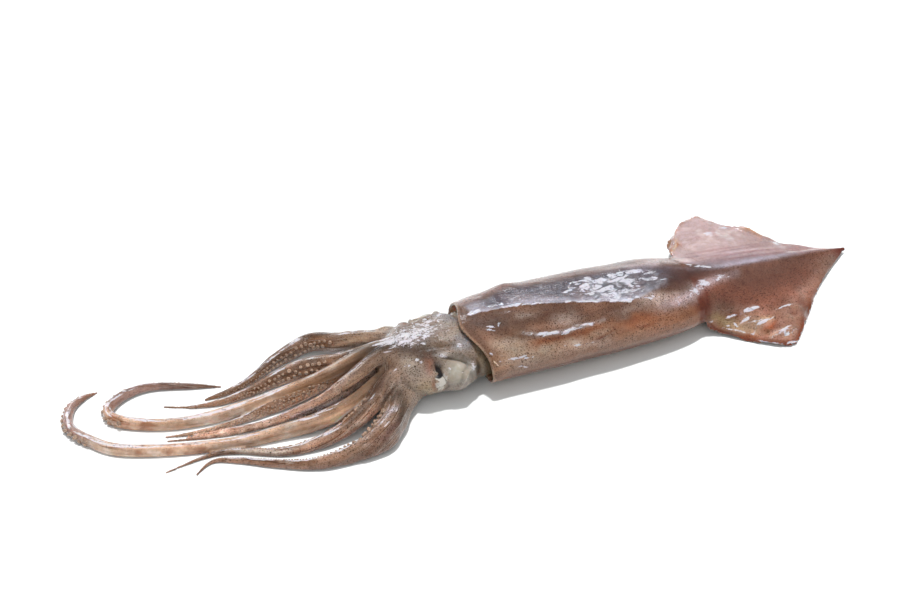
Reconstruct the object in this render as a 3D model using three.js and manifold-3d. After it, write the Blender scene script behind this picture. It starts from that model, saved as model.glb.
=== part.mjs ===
// A whole raw squid lying on its belly, head and arms towards -X, tail towards +X, +Z up.
// All lengths are millimetres. While it is built, X = 0 is the rim of the mantle, Y = 0 its long axis
// and Z = 0 the slab it lies on; at the end the whole animal is moved so that the origin is the middle
// of its footprint.
import * as THREE from 'three';
import { mergeVertices } from 'three/addons/utils/BufferGeometryUtils.js';
import Module from 'manifold-3d';

const wasm = await Module();
wasm.setup();

// ---------------------------------------------------------------- driving dimensions
const MANTLE_LENGTH = 220;
const MANTLE_SIDES = 30;
const HEAD_SIDES = 20;
const STEPS = 3;                  // rings between two stations of a table
const HEAD_STEPS = 2;
const WALL = 2.6;                 // thickness of the mantle's lip
const COLLAR_DEPTH = 19;          // how far the open collar reaches in behind the rim
const DORSAL_LOBE = 7;            // how far the rim runs forward over the neck
const DORSAL_ANGLE = 102;         // where on the rim, in degrees from the right flank over the back
const DORSAL_SPREAD = 34;
const VENTRAL_NOTCH = 3;          // how far it is cut back under the belly
const VENTRAL_ANGLE = 250;
const VENTRAL_SPREAD = 38;
const LOBE_REACH = 30;            // length of skin that follows the rim's shape
const FIN_FRONT = 123;            // where the fins' root starts and ends on the ridge of the back
const FIN_BACK = 216;
const FIN_CROWDING = 1.6;         // above 1 the root's points crowd towards its front
const FIN_ROOT_THICKNESS = 3.6;
const FIN_EDGE_THICKNESS = 1.5;
const FIN_ALONG = 22;             // facets of a fin along its root and from root to margin
const FIN_ACROSS = 5;
const LEFT_DRAPE = [2.4, 1.2];    // at a fin's front and back; above 1 it leaves the back level and
const RIGHT_DRAPE = [1.3, 1];     // falls towards its margin
const RIPPLE = 0.7;               // height of the waves along a fin's margin
const RIPPLES = 5;                // number of those waves
const MOUTH_FLAT = 0.2;           // how much a limb's mouth side is flattened, in girths
const MOUTH_EDGE = 0.1;           // height of the two thin edges beside it
const EDGE_ANGLE = 1.15;          // their place, in radians from the middle of the mouth side
const KEEL = 0.14;                // height of the keel on a limb's back
const SUCKER_SIDES = 5;
const SUCKER_SPACING = 2.7;       // step from cup to cup, in cup radii
const SUCKER_ANGLE = 0.42;        // between a row of cups and the middle of the mouth side
const SUCKER_FOOT = 0.84;         // distance of a cup's middle from the limb's axis, in girths
const SEAT = 0.92;                // height of a resting limb's axis, in girths
const EYE_RADIUS = 5.6;
const EYE_GAP = 0.35;             // between an eyeball and its socket
const EYE = { x: -25.4, y: 17.2, z: 17.2 };                              // y is outwards
const EYE_DOME = { radii: [9.5, 10, 9.5], x: -14.5, y: 14.2, z: 14.6 };  // swelling behind each eye
const FUNNEL = { radii: [11, 7.5, 4.6], x: -13, y: 0, z: 5 };

// Mantle stations from the rim to the tail: share of the mantle's length, half width, half height,
// height of the middle, sideways bend.
const MANTLE = [
  [0.000, 25.8, 16.4, 16.2, 0.4],
  [0.055, 27.2, 17.2, 16.8, -0.4],
  [0.180, 28.2, 17.2, 16.7, -2.0],
  [0.360, 28.2, 15.6, 15.1, -3.6],
  [0.500, 26.2, 13.6, 13.1, -4.0],
  [0.610, 18.6, 10.4, 9.9, -3.2],
  [0.730, 11.6, 7.9, 7.6, -2.2],
  [0.840, 7.0, 5.5, 5.3, -1.0],
  [0.940, 3.6, 3.2, 3.5, -0.3],
  [1.000, 0.9, 0.9, 2.8, 0],
];

// Collar stations: distance behind the rim and depth under the mantle's skin.
const COLLAR = [
  [-12, WALL],
  [0, WALL],
  [9, WALL + 0.6],
  [COLLAR_DEPTH - 3, WALL + 1.6],
  [COLLAR_DEPTH, WALL + 5],
];

// Head stations: x, half width, half height, height of the middle. The first three are the neck,
// which stands in the collar; the last two close the crown between the arms.
const HEAD = [
  [15, 14.5, 10.0, 15.0],
  [3, 17.0, 12.0, 15.2],
  [-3, 18.2, 12.8, 15.2],
  [-8, 21.4, 14.0, 14.6],
  [-15, 22.2, 14.8, 14.8],
  [-25, 21.6, 15.2, 15.4],
  [-35, 19.5, 14.6, 15.9],
  [-43, 14.5, 11.6, 15.4],
  [-50, 7.0, 6.0, 13.0],
];

// Fin margins from the front insertion round the corner to the tail: x, y, height of the skin. The
// left fin drapes over the flank to the slab, the right one stands a little off it.
const LEFT_FIN = [
  [119.5, -22, 20],
  [120.5, -28.6, 12],
  [123.5, -29.5, 4.6],
  [129, -32, 2.2],
  [138, -41.5, 2],
  [149, -51, 2.2],
  [157, -53.5, 2],
  [166, -46, 2.4],
  [178, -34, 2.2],
  [190, -22, 2.4],
  [204, -11, 2.6],
  [217, -2, 3],
];
const RIGHT_FIN = [
  [124, 20, 17],
  [129.5, 32, 11.5],
  [139.5, 42, 9],
  [148, 49.5, 8],
  [155.5, 52, 8],
  [165, 43, 7.6],
  [176, 31, 7],
  [189, 16, 6],
  [203, 6, 4.6],
  [217, 1, 3.2],
];

// Limbs from the crown to the tip. A route point is x, y, lift off the slab, girth radius.
// `oral` is the side the suckers face, in degrees from straight up towards the limb's left hand.
// `suckers` gives the stretch that bears them, as fractions of the route, and their largest radius.
const LIMBS = [
  { // outermost arm of the right side, bent like an elbow, with a blunt tip
    route: [[-27, 10, 12, 7], [-45.5, 26, 10, 4.8], [-57.5, 36, 5, 4.5], [-68, 44, 2, 4.7],
      [-79, 43.5, 0.6, 4.2], [-91, 40, 0, 3.2], [-104, 34, 0, 2.2], [-116, 31, 0, 1.7],
      [-129, 31, 0, 0.6]],
    oral: 78, suckers: { from: 0.3, to: 0.66, radius: 1.25 },
  },
  {
    route: [[-28, 7, 14, 6.4], [-46, 11, 14.6, 4.8], [-62.5, 17, 9, 4.4], [-75.5, 24.5, 4, 4.9],
      [-90.5, 28, 0.6, 4], [-107, 26, 0, 2.6], [-123, 25.5, 0, 1.7], [-137, 29, 0, 0.8],
      [-149, 35, 0, 0.3]],
    oral: 70, suckers: { from: 0.3, to: 0.66, radius: 1.3 },
  },
  {
    route: [[-29, 8, 11, 5.6], [-46, 12, 11, 3.8], [-62, 11.5, 8, 3.4], [-78, 12.5, 3, 4.2],
      [-94, 11.5, 0, 3.9], [-110.5, 9.5, 0, 2.4], [-126, 9, 0, 1.5], [-141, 10.5, 0, 1],
      [-155, 14, 0, 0.5]],
    oral: 52, suckers: { from: 0.34, to: 0.76, radius: 1.1 },
  },
  {
    route: [[-28, 3, 18, 5.8], [-47.5, 2, 19, 4.2], [-64.5, -1, 13.5, 3.4], [-80.5, -1.5, 7.5, 2.3],
      [-96, 1, 2, 1.9], [-111, 2, 0, 1.7], [-125, 4.5, 0, 1.6], [-146, 9, 0, 0.6]],
    oral: 170, sides: 8,
  },
  {
    route: [[-30, 4, 9, 5.4], [-50, 2.5, 9.5, 3.8], [-72, 0.5, 4.5, 2.4], [-96, 0.5, 0.8, 1.5],
      [-126, 3, 0, 1], [-155, 11, 0, 0.3]],
    oral: 150, sides: 8,
  },
  { // arm under the others, between the two tentacles
    route: [[-30, 0, 3, 6], [-50, -1, 3.6, 4.6], [-66, -4, 2, 3.6], [-84, -4.5, 0, 2.4],
      [-102, -4, 0, 1.6], [-118, -2, 0, 1.1], [-130, 0.5, 0, 0.4]],
    oral: 180, sides: 8,
  },
  {
    route: [[-27, -5, 12, 7], [-47, -9.5, 12, 5.4], [-61, -17, 7.5, 4.6], [-76, -21.5, 3, 3.8],
      [-92, -22.5, 0.6, 3.1], [-108.5, -19.5, 0, 2.3], [-126, -10.5, 0, 1.6], [-140, -7, 0, 1.2],
      [-163, -9, 0, 0.4]],
    oral: -48, suckers: { from: 0.3, to: 0.62, radius: 1.15 },
  },
  { // thick arm of the left side
    route: [[-28, -5, 4.5, 7.2], [-45.5, -16.8, 2.2, 6.7], [-54, -26.5, 1, 7], [-63, -33.5, 0.3, 7.2],
      [-74, -36, 0, 5.2], [-94.5, -35, 0, 3.2], [-111.5, -27, 0, 2.2], [-128, -16.5, 0, 1.6],
      [-140, -11.5, 0, 1], [-150, -16.5, 0, 0.6]],
    oral: -62, suckers: { from: 0.2, to: 0.5, radius: 1.35 },
  },
  { // right tentacle, whose club hooks back
    route: [[-28, 5, 20, 5.2], [-51, 8, 18, 3.9], [-75, 12, 8, 3.4], [-96, 14, 3, 3.4],
      [-116, 15, 0, 3.6], [-136, 16, 0, 3.3], [-155, 21, 0, 3.1], [-172, 31, 0, 3.3],
      [-175.5, 41, 0, 2.8], [-166, 48.5, 0, 2.5], [-151, 50, 0, 2.1], [-130, 42, 0, 1.4],
      [-118, 37, 0, 0.4]],
    oral: 88, sides: 8, suckers: { from: 0.6, to: 0.74, radius: 1.3 },
  },
  { // left tentacle
    route: [[-30, 3, 12, 5], [-48, -5.5, 12, 4.1], [-66, -11, 6.5, 4.4], [-85, -11.5, 2.5, 4.3],
      [-105, -9, 0.6, 3.7], [-124, -6.5, 0, 3.1], [-152, 1, 0, 3.1], [-178, 12, 0, 3.2],
      [-190, 25, 0, 3], [-196, 38, 0, 2.8], [-192, 50, 0, 2.3], [-184, 56, 0, 1.6],
      [-175, 58.5, 0, 0.4]],
    oral: 88, sides: 8, suckers: { from: 0.7, to: 0.85, radius: 1.3 },
  },
];

// ---------------------------------------------------------------- geometry helpers

// Reads a table at any place between its rows, with a smooth curve through them.
function spline(rows, place) {
  const last = rows.length - 1;
  const index = Math.min(Math.floor(place), last - 1);
  const t = place - index;
  const [a, b, c, d] = [-1, 0, 1, 2].map((step) => rows[THREE.MathUtils.clamp(index + step, 0, last)]);
  return b.map((value, k) => value + 0.5 * t * (c[k] - a[k]
    + t * (2 * a[k] - 5 * b[k] + 4 * c[k] - d[k] + t * (3 * (b[k] - c[k]) + d[k] - a[k]))));
}

// A closed skin over points and triangles, turned so that its faces look outwards.
function closedSkin(points, triangles) {
  const volume = triangles.reduce((sum, [a, b, c]) => (
    sum + points[a].dot(points[b].clone().cross(points[c]))), 0);
  const index = triangles.flatMap(([a, b, c]) => (volume > 0 ? [a, b, c] : [a, c, b]));
  const geometry = new THREE.BufferGeometry().setFromPoints(points);
  geometry.setIndex(index);
  return geometry;
}

// Joins rings of equal count into a closed body with a fan over each end.
function loft(rings) {
  const sides = rings[0].length;
  const points = rings.flat();
  const triangles = [];
  for (let row = 0; row < rings.length - 1; row += 1) {
    for (let k = 0; k < sides; k += 1) {
      const a = row * sides + k;
      const b = row * sides + (k + 1) % sides;
      triangles.push([a, b, b + sides], [a, b + sides, a + sides]);
    }
  }
  for (const [ring, start] of [[rings[0], 0], [rings.at(-1), (rings.length - 1) * sides]]) {
    const hub = points.length;
    points.push(ring.reduce((sum, p) => sum.add(p), new THREE.Vector3()).divideScalar(sides));
    for (let k = 0; k < sides; k += 1) {
      const next = (k + 1) % sides;
      triangles.push(start === 0 ? [hub, start + next, start + k] : [hub, start + k, start + next]);
    }
  }
  return closedSkin(points, triangles);
}

function solidOf(geometry) {
  const bare = geometry.clone();
  bare.deleteAttribute('normal');
  bare.deleteAttribute('uv');
  const merged = mergeVertices(bare, 1e-4);
  return new wasm.Manifold(new wasm.Mesh({
    numProp: 3,
    vertProperties: new Float32Array(merged.attributes.position.array),
    triVerts: new Uint32Array(merged.index.array),
  }));
}

function meshOf(solid, name, material) {
  const { vertProperties, triVerts } = solid.getMesh();
  const geometry = new THREE.BufferGeometry();
  geometry.setAttribute('position', new THREE.BufferAttribute(new Float32Array(vertProperties), 3));
  geometry.setIndex(new THREE.BufferAttribute(new Uint32Array(triVerts), 1));
  geometry.computeVertexNormals();
  const mesh = new THREE.Mesh(geometry, material);
  mesh.name = name;
  return mesh;
}

function ball(radii, centre, columns = 12, rows = 8) {
  const geometry = new THREE.SphereGeometry(1, columns, rows);
  geometry.scale(...radii);
  geometry.translate(...centre);
  return geometry;
}

// A rounded ring across the body. Points that would sink into the slab are laid on it.
function bodyRing(halfWidth, halfHeight, middle, sides, place) {
  const ring = [];
  for (let k = 0; k < sides; k += 1) {
    const angle = (k / sides) * 2 * Math.PI;
    const y = halfWidth * Math.cos(angle);
    const z = Math.max(0, middle + halfHeight * Math.sin(angle));
    ring.push(new THREE.Vector3(place(angle), y, z));
  }
  return ring;
}

// ---------------------------------------------------------------- mantle and fins

// The rim runs forward in a broad lobe over the back, a little to the left of the midline, and is
// cut back a little under the belly.
function rimX(angle) {
  const degrees = THREE.MathUtils.radToDeg(angle);
  const lobe = Math.exp(-(((degrees - DORSAL_ANGLE) / DORSAL_SPREAD) ** 2));
  const notch = Math.exp(-(((degrees - VENTRAL_ANGLE) / VENTRAL_SPREAD) ** 2));
  return -DORSAL_LOBE * lobe + VENTRAL_NOTCH * notch;
}

function mantleTube() {
  const rings = [];
  for (let row = 0; row <= (MANTLE.length - 1) * STEPS; row += 1) {
    const [share, halfWidth, halfHeight, middle, bend] = spline(MANTLE, row / STEPS);
    const x = share * MANTLE_LENGTH;
    const fade = Math.max(0, 1 - x / LOBE_REACH);
    const ring = bodyRing(halfWidth, halfHeight, middle, MANTLE_SIDES, (angle) => x + rimX(angle) * fade);
    rings.push(ring.map((p) => p.setY(p.y + bend)));
  }
  return loft(rings);
}

// The mantle's section at a distance from the rim.
function mantleAt(x) {
  const share = THREE.MathUtils.clamp(x / MANTLE_LENGTH, 0, 1);
  const next = Math.max(1, MANTLE.findIndex((row) => row[0] >= share));
  const [before, after] = [MANTLE[next - 1][0], MANTLE[next][0]];
  const place = next - 1 + (share - before) / (after - before);
  const [, halfWidth, halfHeight, middle, bend] = spline(MANTLE, place);
  return { halfWidth, halfHeight, middle, bend };
}

// The open space between the mantle's wall and the neck.
function collar() {
  const rings = COLLAR.map(([x, depth]) => {
    const { halfWidth, halfHeight, middle, bend } = mantleAt(x);
    const ring = bodyRing(halfWidth - depth, halfHeight - depth, middle, MANTLE_SIDES, () => x);
    return ring.map((p) => p.set(p.x, p.y + bend, Math.max(p.z, depth)));
  });
  return loft(rings);
}

// The fins' root runs along the ridge of the back, just under the skin.
function finRoot(u) {
  const x = THREE.MathUtils.lerp(FIN_FRONT, FIN_BACK, u ** FIN_CROWDING);
  const { halfHeight, middle, bend } = mantleAt(x);
  return [x, bend, middle + halfHeight - 0.5 * FIN_ROOT_THICKNESS];
}

// A fin is a thin sheet from its root inside the mantle to the margin, thinner towards the margin.
function fin(margin, drape) {
  const top = [];
  const under = [];
  for (let i = 0; i <= FIN_ALONG; i += 1) {
    const u = i / FIN_ALONG;
    const [edgeX, edgeY, edgeZ] = spline(margin, u * (margin.length - 1));
    const [rootX, rootY, rootZ] = finRoot(u);
    for (let j = 0; j <= FIN_ACROSS; j += 1) {
      const v = j / FIN_ACROSS;
      const x = THREE.MathUtils.lerp(rootX, edgeX, v);
      const y = THREE.MathUtils.lerp(rootY, edgeY, v);
      const ripple = RIPPLE * v * Math.sin(u * RIPPLES * 2 * Math.PI);
      const fall = v ** THREE.MathUtils.lerp(drape[0], drape[1], u);
      const height = THREE.MathUtils.lerp(rootZ, edgeZ, fall) + ripple;
      const half = 0.5 * THREE.MathUtils.lerp(FIN_ROOT_THICKNESS, FIN_EDGE_THICKNESS, v);
      top.push(new THREE.Vector3(x, y, Math.max(height + half, 2 * half)));
      under.push(new THREE.Vector3(x, y, Math.max(height - half, 0)));
    }
  }
  const triangles = [];
  const row = FIN_ACROSS + 1;
  const quad = (a, b, c, d) => triangles.push([a, b, c], [a, c, d]);
  for (let i = 0; i < FIN_ALONG; i += 1) {
    for (let j = 0; j < FIN_ACROSS; j += 1) {
      const a = i * row + j;
      quad(a, a + row, a + row + 1, a + 1);
      quad(a + top.length, a + 1 + top.length, a + row + 1 + top.length, a + row + top.length);
    }
  }
  const border = [];
  for (let j = 0; j <= FIN_ACROSS; j += 1) border.push(j);
  for (let i = 1; i <= FIN_ALONG; i += 1) border.push(i * row + FIN_ACROSS);
  for (let j = FIN_ACROSS - 1; j >= 0; j -= 1) border.push(FIN_ALONG * row + j);
  for (let i = FIN_ALONG - 1; i > 0; i -= 1) border.push(i * row);
  border.forEach((a, k) => {
    const b = border[(k + 1) % border.length];
    quad(a, b, b + top.length, a + top.length);
  });
  return closedSkin([...top, ...under], triangles);
}

// ---------------------------------------------------------------- head, arms and tentacles

// Place and directions on a limb: the axis point, girth, and the up and left directions across it.
function limbFrame(route, place) {
  const here = spline(route, place);
  const before = spline(route, Math.max(0, place - 0.02));
  const after = spline(route, Math.min(route.length - 1, place + 0.02));
  const axisPoint = (row) => new THREE.Vector3(row[0], row[1], row[2] + SEAT * row[3]);
  const along = axisPoint(after).sub(axisPoint(before)).normalize();
  const up = new THREE.Vector3(0, 0, 1);
  up.addScaledVector(along, -up.dot(along)).normalize();
  const left = new THREE.Vector3().crossVectors(up, along);
  return { centre: axisPoint(here), girth: here[3], up, left };
}

// Radius of a limb round its section: a keel on the back, a flat mouth side between two thin edges.
function sectionRadius(fromOral) {
  const fromEdge = Math.abs(fromOral) - EDGE_ANGLE;
  const flat = MOUTH_FLAT * Math.max(0, Math.cos(fromOral)) ** 3;
  const edge = MOUTH_EDGE * Math.cos(THREE.MathUtils.clamp(4 * fromEdge, -0.5 * Math.PI, 0.5 * Math.PI));
  const keel = KEEL * Math.max(0, -Math.cos(fromOral)) ** 8;
  return 1 - flat + edge + keel;
}

function limb({ route, oral, sides = 10 }) {
  const turn = THREE.MathUtils.degToRad(oral);
  const rings = [];
  for (let row = 0; row <= (route.length - 1) * STEPS; row += 1) {
    const { centre, girth, up, left } = limbFrame(route, row / STEPS);
    const ring = [];
    for (let k = 0; k < sides; k += 1) {
      const fromOral = ((k / sides) * 2 - 1) * Math.PI;
      const angle = turn + fromOral;
      const radius = girth * sectionRadius(fromOral);
      const point = centre.clone();
      point.addScaledVector(up, Math.cos(angle) * radius * SEAT);
      point.addScaledVector(left, Math.sin(angle) * radius);
      ring.push(point.setZ(Math.max(0, point.z)));
    }
    rings.push(ring);
  }
  return loft(rings);
}

// A sucker: a short cup that widens outwards, with its foot sunk into the limb.
function sucker(centre, facing, radius) {
  const turn = new THREE.Quaternion().setFromUnitVectors(new THREE.Vector3(0, 0, 1), facing);
  const rings = [[0.8, -0.6], [1, 0.6]].map(([width, rise]) => {
    const ring = [];
    for (let k = 0; k < SUCKER_SIDES; k += 1) {
      const angle = (k / SUCKER_SIDES) * 2 * Math.PI;
      const corner = new THREE.Vector3(Math.cos(angle) * width, Math.sin(angle) * width, rise);
      ring.push(corner.multiplyScalar(radius).applyQuaternion(turn).add(centre));
    }
    return ring;
  });
  return loft(rings);
}

// Two rows of suckers, set alternately, on the mouth side of a limb.
function suckerRows({ route, oral, suckers }) {
  if (!suckers) return [];
  const cups = [];
  const spans = route.length - 1;
  let place = suckers.from * spans;
  let side = 1;
  while (place < suckers.to * spans) {
    const { centre, girth, up, left } = limbFrame(route, place);
    const radius = Math.min(suckers.radius, girth * 0.42);
    const angle = THREE.MathUtils.degToRad(oral) + side * SUCKER_ANGLE;
    const facing = new THREE.Vector3();
    facing.addScaledVector(up, Math.cos(angle)).addScaledVector(left, Math.sin(angle)).normalize();
    const foot = centre.clone().addScaledVector(facing, girth * SUCKER_FOOT);
    if (foot.z > radius) cups.push(sucker(foot, facing, radius));
    const ahead = spline(route, Math.min(spans, place + 0.1));
    const here = spline(route, place);
    const travel = Math.hypot(ahead[0] - here[0], ahead[1] - here[1]) / 0.1;
    place += (radius * SUCKER_SPACING) / travel;
    side = -side;
  }
  return cups;
}

// A ball at a place given for the right side; `side` is 1 for the right and -1 for the left.
function sideBall(radii, place, side) {
  return ball(radii, [place.x, side * place.y, place.z]);
}

function eyeball(radius, side) {
  return sideBall([radius, radius, radius], EYE, side);
}

function headBody() {
  const rings = [];
  for (let row = 0; row <= (HEAD.length - 1) * HEAD_STEPS; row += 1) {
    const [x, halfWidth, halfHeight, middle] = spline(HEAD, row / HEAD_STEPS);
    rings.push(bodyRing(halfWidth, halfHeight, middle, HEAD_SIDES, () => x));
  }
  return loft(rings);
}

function headAndArms() {
  const pieces = [headBody(), sideBall(FUNNEL.radii, FUNNEL, 1)];
  pieces.push(...[-1, 1].map((side) => sideBall(EYE_DOME.radii, EYE_DOME, side)));
  pieces.push(...LIMBS.map(limb), ...LIMBS.flatMap(suckerRows));
  let solid = solidOf(pieces[0]);
  for (const piece of pieces.slice(1)) solid = solid.add(solidOf(piece));
  for (const side of [-1, 1]) solid = solid.subtract(solidOf(eyeball(EYE_RADIUS + EYE_GAP, side)));
  return solid;
}

// ---------------------------------------------------------------- the squid

const skin = new THREE.MeshStandardMaterial({ color: 0xa4867c, roughness: 0.32, metalness: 0 });
const armSkin = new THREE.MeshStandardMaterial({ color: 0x9c8371, roughness: 0.35, metalness: 0 });
const eyeSkin = new THREE.MeshStandardMaterial({ color: 0x2c2020, roughness: 0.12, metalness: 0 });

const squid = new THREE.Group();

const mantle = solidOf(mantleTube())
  .subtract(solidOf(collar()))
  .add(solidOf(fin(LEFT_FIN, LEFT_DRAPE)))
  .add(solidOf(fin(RIGHT_FIN, RIGHT_DRAPE)));
squid.add(meshOf(mantle, 'mantle', skin));

squid.add(meshOf(headAndArms(), 'head_arms', armSkin));

for (const [name, side] of [['eye_left', -1], ['eye_right', 1]]) {
  squid.add(meshOf(solidOf(eyeball(EYE_RADIUS, side)), name, eyeSkin));
}

// The footprint's middle becomes the origin.
const reach = new THREE.Box3().setFromObject(squid);
const middle = reach.getCenter(new THREE.Vector3());
squid.position.set(-middle.x, -middle.y, -reach.min.z);

export default squid;
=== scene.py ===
"""The looks of a whole raw squid, built round its CAD frame.

Shapes are worked out in millimetres with X = 0 at the mantle's rim, Y = 0 on its long axis and Z = 0 on the
slab, as in the CAD source, and are moved into the frame's metres at the end. Colours are screen values from 0
to 255. Strokes follow bent lines, written as a row of x, y, x, y: on the mantle in distances from the rim and
turns round the axis, and otherwise in the photograph's frame of 900 x 602.
"""

import math

import bpy
import numpy as np
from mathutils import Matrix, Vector
from mathutils.kdtree import KDTree


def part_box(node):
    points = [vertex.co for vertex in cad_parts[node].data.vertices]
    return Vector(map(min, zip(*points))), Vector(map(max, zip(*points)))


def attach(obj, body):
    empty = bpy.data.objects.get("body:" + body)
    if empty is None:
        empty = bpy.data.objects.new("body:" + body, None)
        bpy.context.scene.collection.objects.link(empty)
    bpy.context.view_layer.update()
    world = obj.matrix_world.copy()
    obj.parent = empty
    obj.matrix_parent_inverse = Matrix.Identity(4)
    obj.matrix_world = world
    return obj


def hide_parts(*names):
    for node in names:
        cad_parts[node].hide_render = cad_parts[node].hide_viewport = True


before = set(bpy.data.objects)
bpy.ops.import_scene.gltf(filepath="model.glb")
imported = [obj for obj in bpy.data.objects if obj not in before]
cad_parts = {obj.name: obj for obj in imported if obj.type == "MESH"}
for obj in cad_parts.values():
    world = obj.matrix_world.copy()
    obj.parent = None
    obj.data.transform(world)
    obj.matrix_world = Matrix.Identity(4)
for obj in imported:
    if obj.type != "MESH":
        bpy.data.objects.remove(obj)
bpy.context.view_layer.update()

# ---------------------------------------------------------------- dimensions, in mm
MANTLE_LENGTH = 220
WALL = 2.0
COLLAR_DEPTH = 19
LIP_FLARE = 2.2, 0.8
DORSAL_LOBE, DORSAL_ANGLE, DORSAL_SPREAD = 7, 102, 34
VENTRAL_NOTCH, VENTRAL_ANGLE, VENTRAL_SPREAD = 3, 250, 38
LOBE_REACH = 30
FIN_FRONT, FIN_BACK, FIN_CROWDING = 123, 216, 1.6
FIN_ROOT_THICKNESS, FIN_EDGE_THICKNESS = 3.4, 1.4
EYE_RADIUS = 5.5
EYE = np.array([-25.4, 17.2, 17.2])  # the right one; the left one is its mirror image
EYE_DOME = np.array([-14.5, 14.2, 14.6])
SEAT = 0.92  # height of a limb's section as a share of its width
MOUTH_EDGE = 1.15  # radians from the middle of a limb's mouth side to its thin edges
SKIN_VOXEL = 0.69
ARM_VOXEL = 0.64
GROUND = 0.02  # the least height of a point of the skin

# the photograph's camera: 40 degrees above the slab, turned 24.5 degrees, 1.1 m from its target
TURNED, RAISED = math.radians(24.5), math.radians(40)
RIGHT = np.array([math.cos(TURNED), -math.sin(TURNED), 0])
BACK = np.array([-math.sin(TURNED) * math.cos(RAISED), -math.cos(TURNED) * math.cos(RAISED),
                 math.sin(RAISED)])
UP = np.cross(BACK, RIGHT)
TARGET, DISTANCE = np.array([12.3, 50.7, 0]), 1102
LENS, SENSOR = 85, 36
WIDE, HIGH = 900, 602

# light that reaches the top of the squid, against a white surface that shows as 255
EXPOSURE = 1.3
# lighter skin is also cooler: red, green and blue for each doubling of its tone
COOLER = np.array([1, 1.04, 1.1])

# share of the mantle's length, half width, half height, height of the middle, sideways bend
MANTLE = np.array([
    [0.000, 25.8, 16.4, 16.2, 0.4],
    [0.055, 27.2, 17.2, 16.8, -0.4],
    [0.180, 28.2, 17.2, 16.7, -2.0],
    [0.360, 28.2, 15.6, 15.1, -3.6],
    [0.500, 26.2, 13.6, 13.1, -4.0],
    [0.610, 18.6, 10.4, 9.9, -3.2],
    [0.730, 11.6, 7.9, 7.6, -2.2],
    [0.840, 7.0, 5.5, 5.3, -1.0],
    [0.940, 3.6, 3.2, 3.5, -0.3],
    [1.000, 0.9, 0.9, 2.8, 0],
])

# x, half width, half height, height of the middle, from the neck to the crown
HEAD = np.array([
    [15, 17.5, 11.5, 15.2],
    [6, 20.4, 13.2, 15.4],
    [-1, 20.6, 13.4, 15.4],
    [-4, 20.2, 13.2, 15.2],
    [-8, 22.2, 14.4, 14.8],
    [-15, 22.4, 14.8, 14.8],
    [-25, 21.6, 15.2, 15.4],
    [-35, 19.5, 14.6, 15.9],
    [-43, 14.5, 11.6, 15.4],
    [-50, 7.0, 6.0, 13.0],
])

# fin margins from the front to the tail: x, y, height of the skin
LEFT_FIN = np.array([
    [119.5, -22, 20], [118, -28.6, 11.6], [120.8, -30, 4.4], [127, -33.2, 1.7], [137, -42.6, 1.3],
    [148.6, -51.6, 1.3], [157, -53.9, 1.2], [166, -46, 1.4], [178, -34, 1.4], [190, -22, 1.6],
    [204, -11, 2.0], [217, -2, 2.7],
])
RIGHT_FIN = np.array([
    [124, 20, 17], [129.5, 32, 11.5], [139.5, 42.4, 9], [149, 51, 8.2], [158, 51, 8],
    [165.8, 43.4, 7.6], [176, 31, 7], [189, 16, 6], [203, 6, 4.6], [217, 1, 3.2],
])

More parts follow.
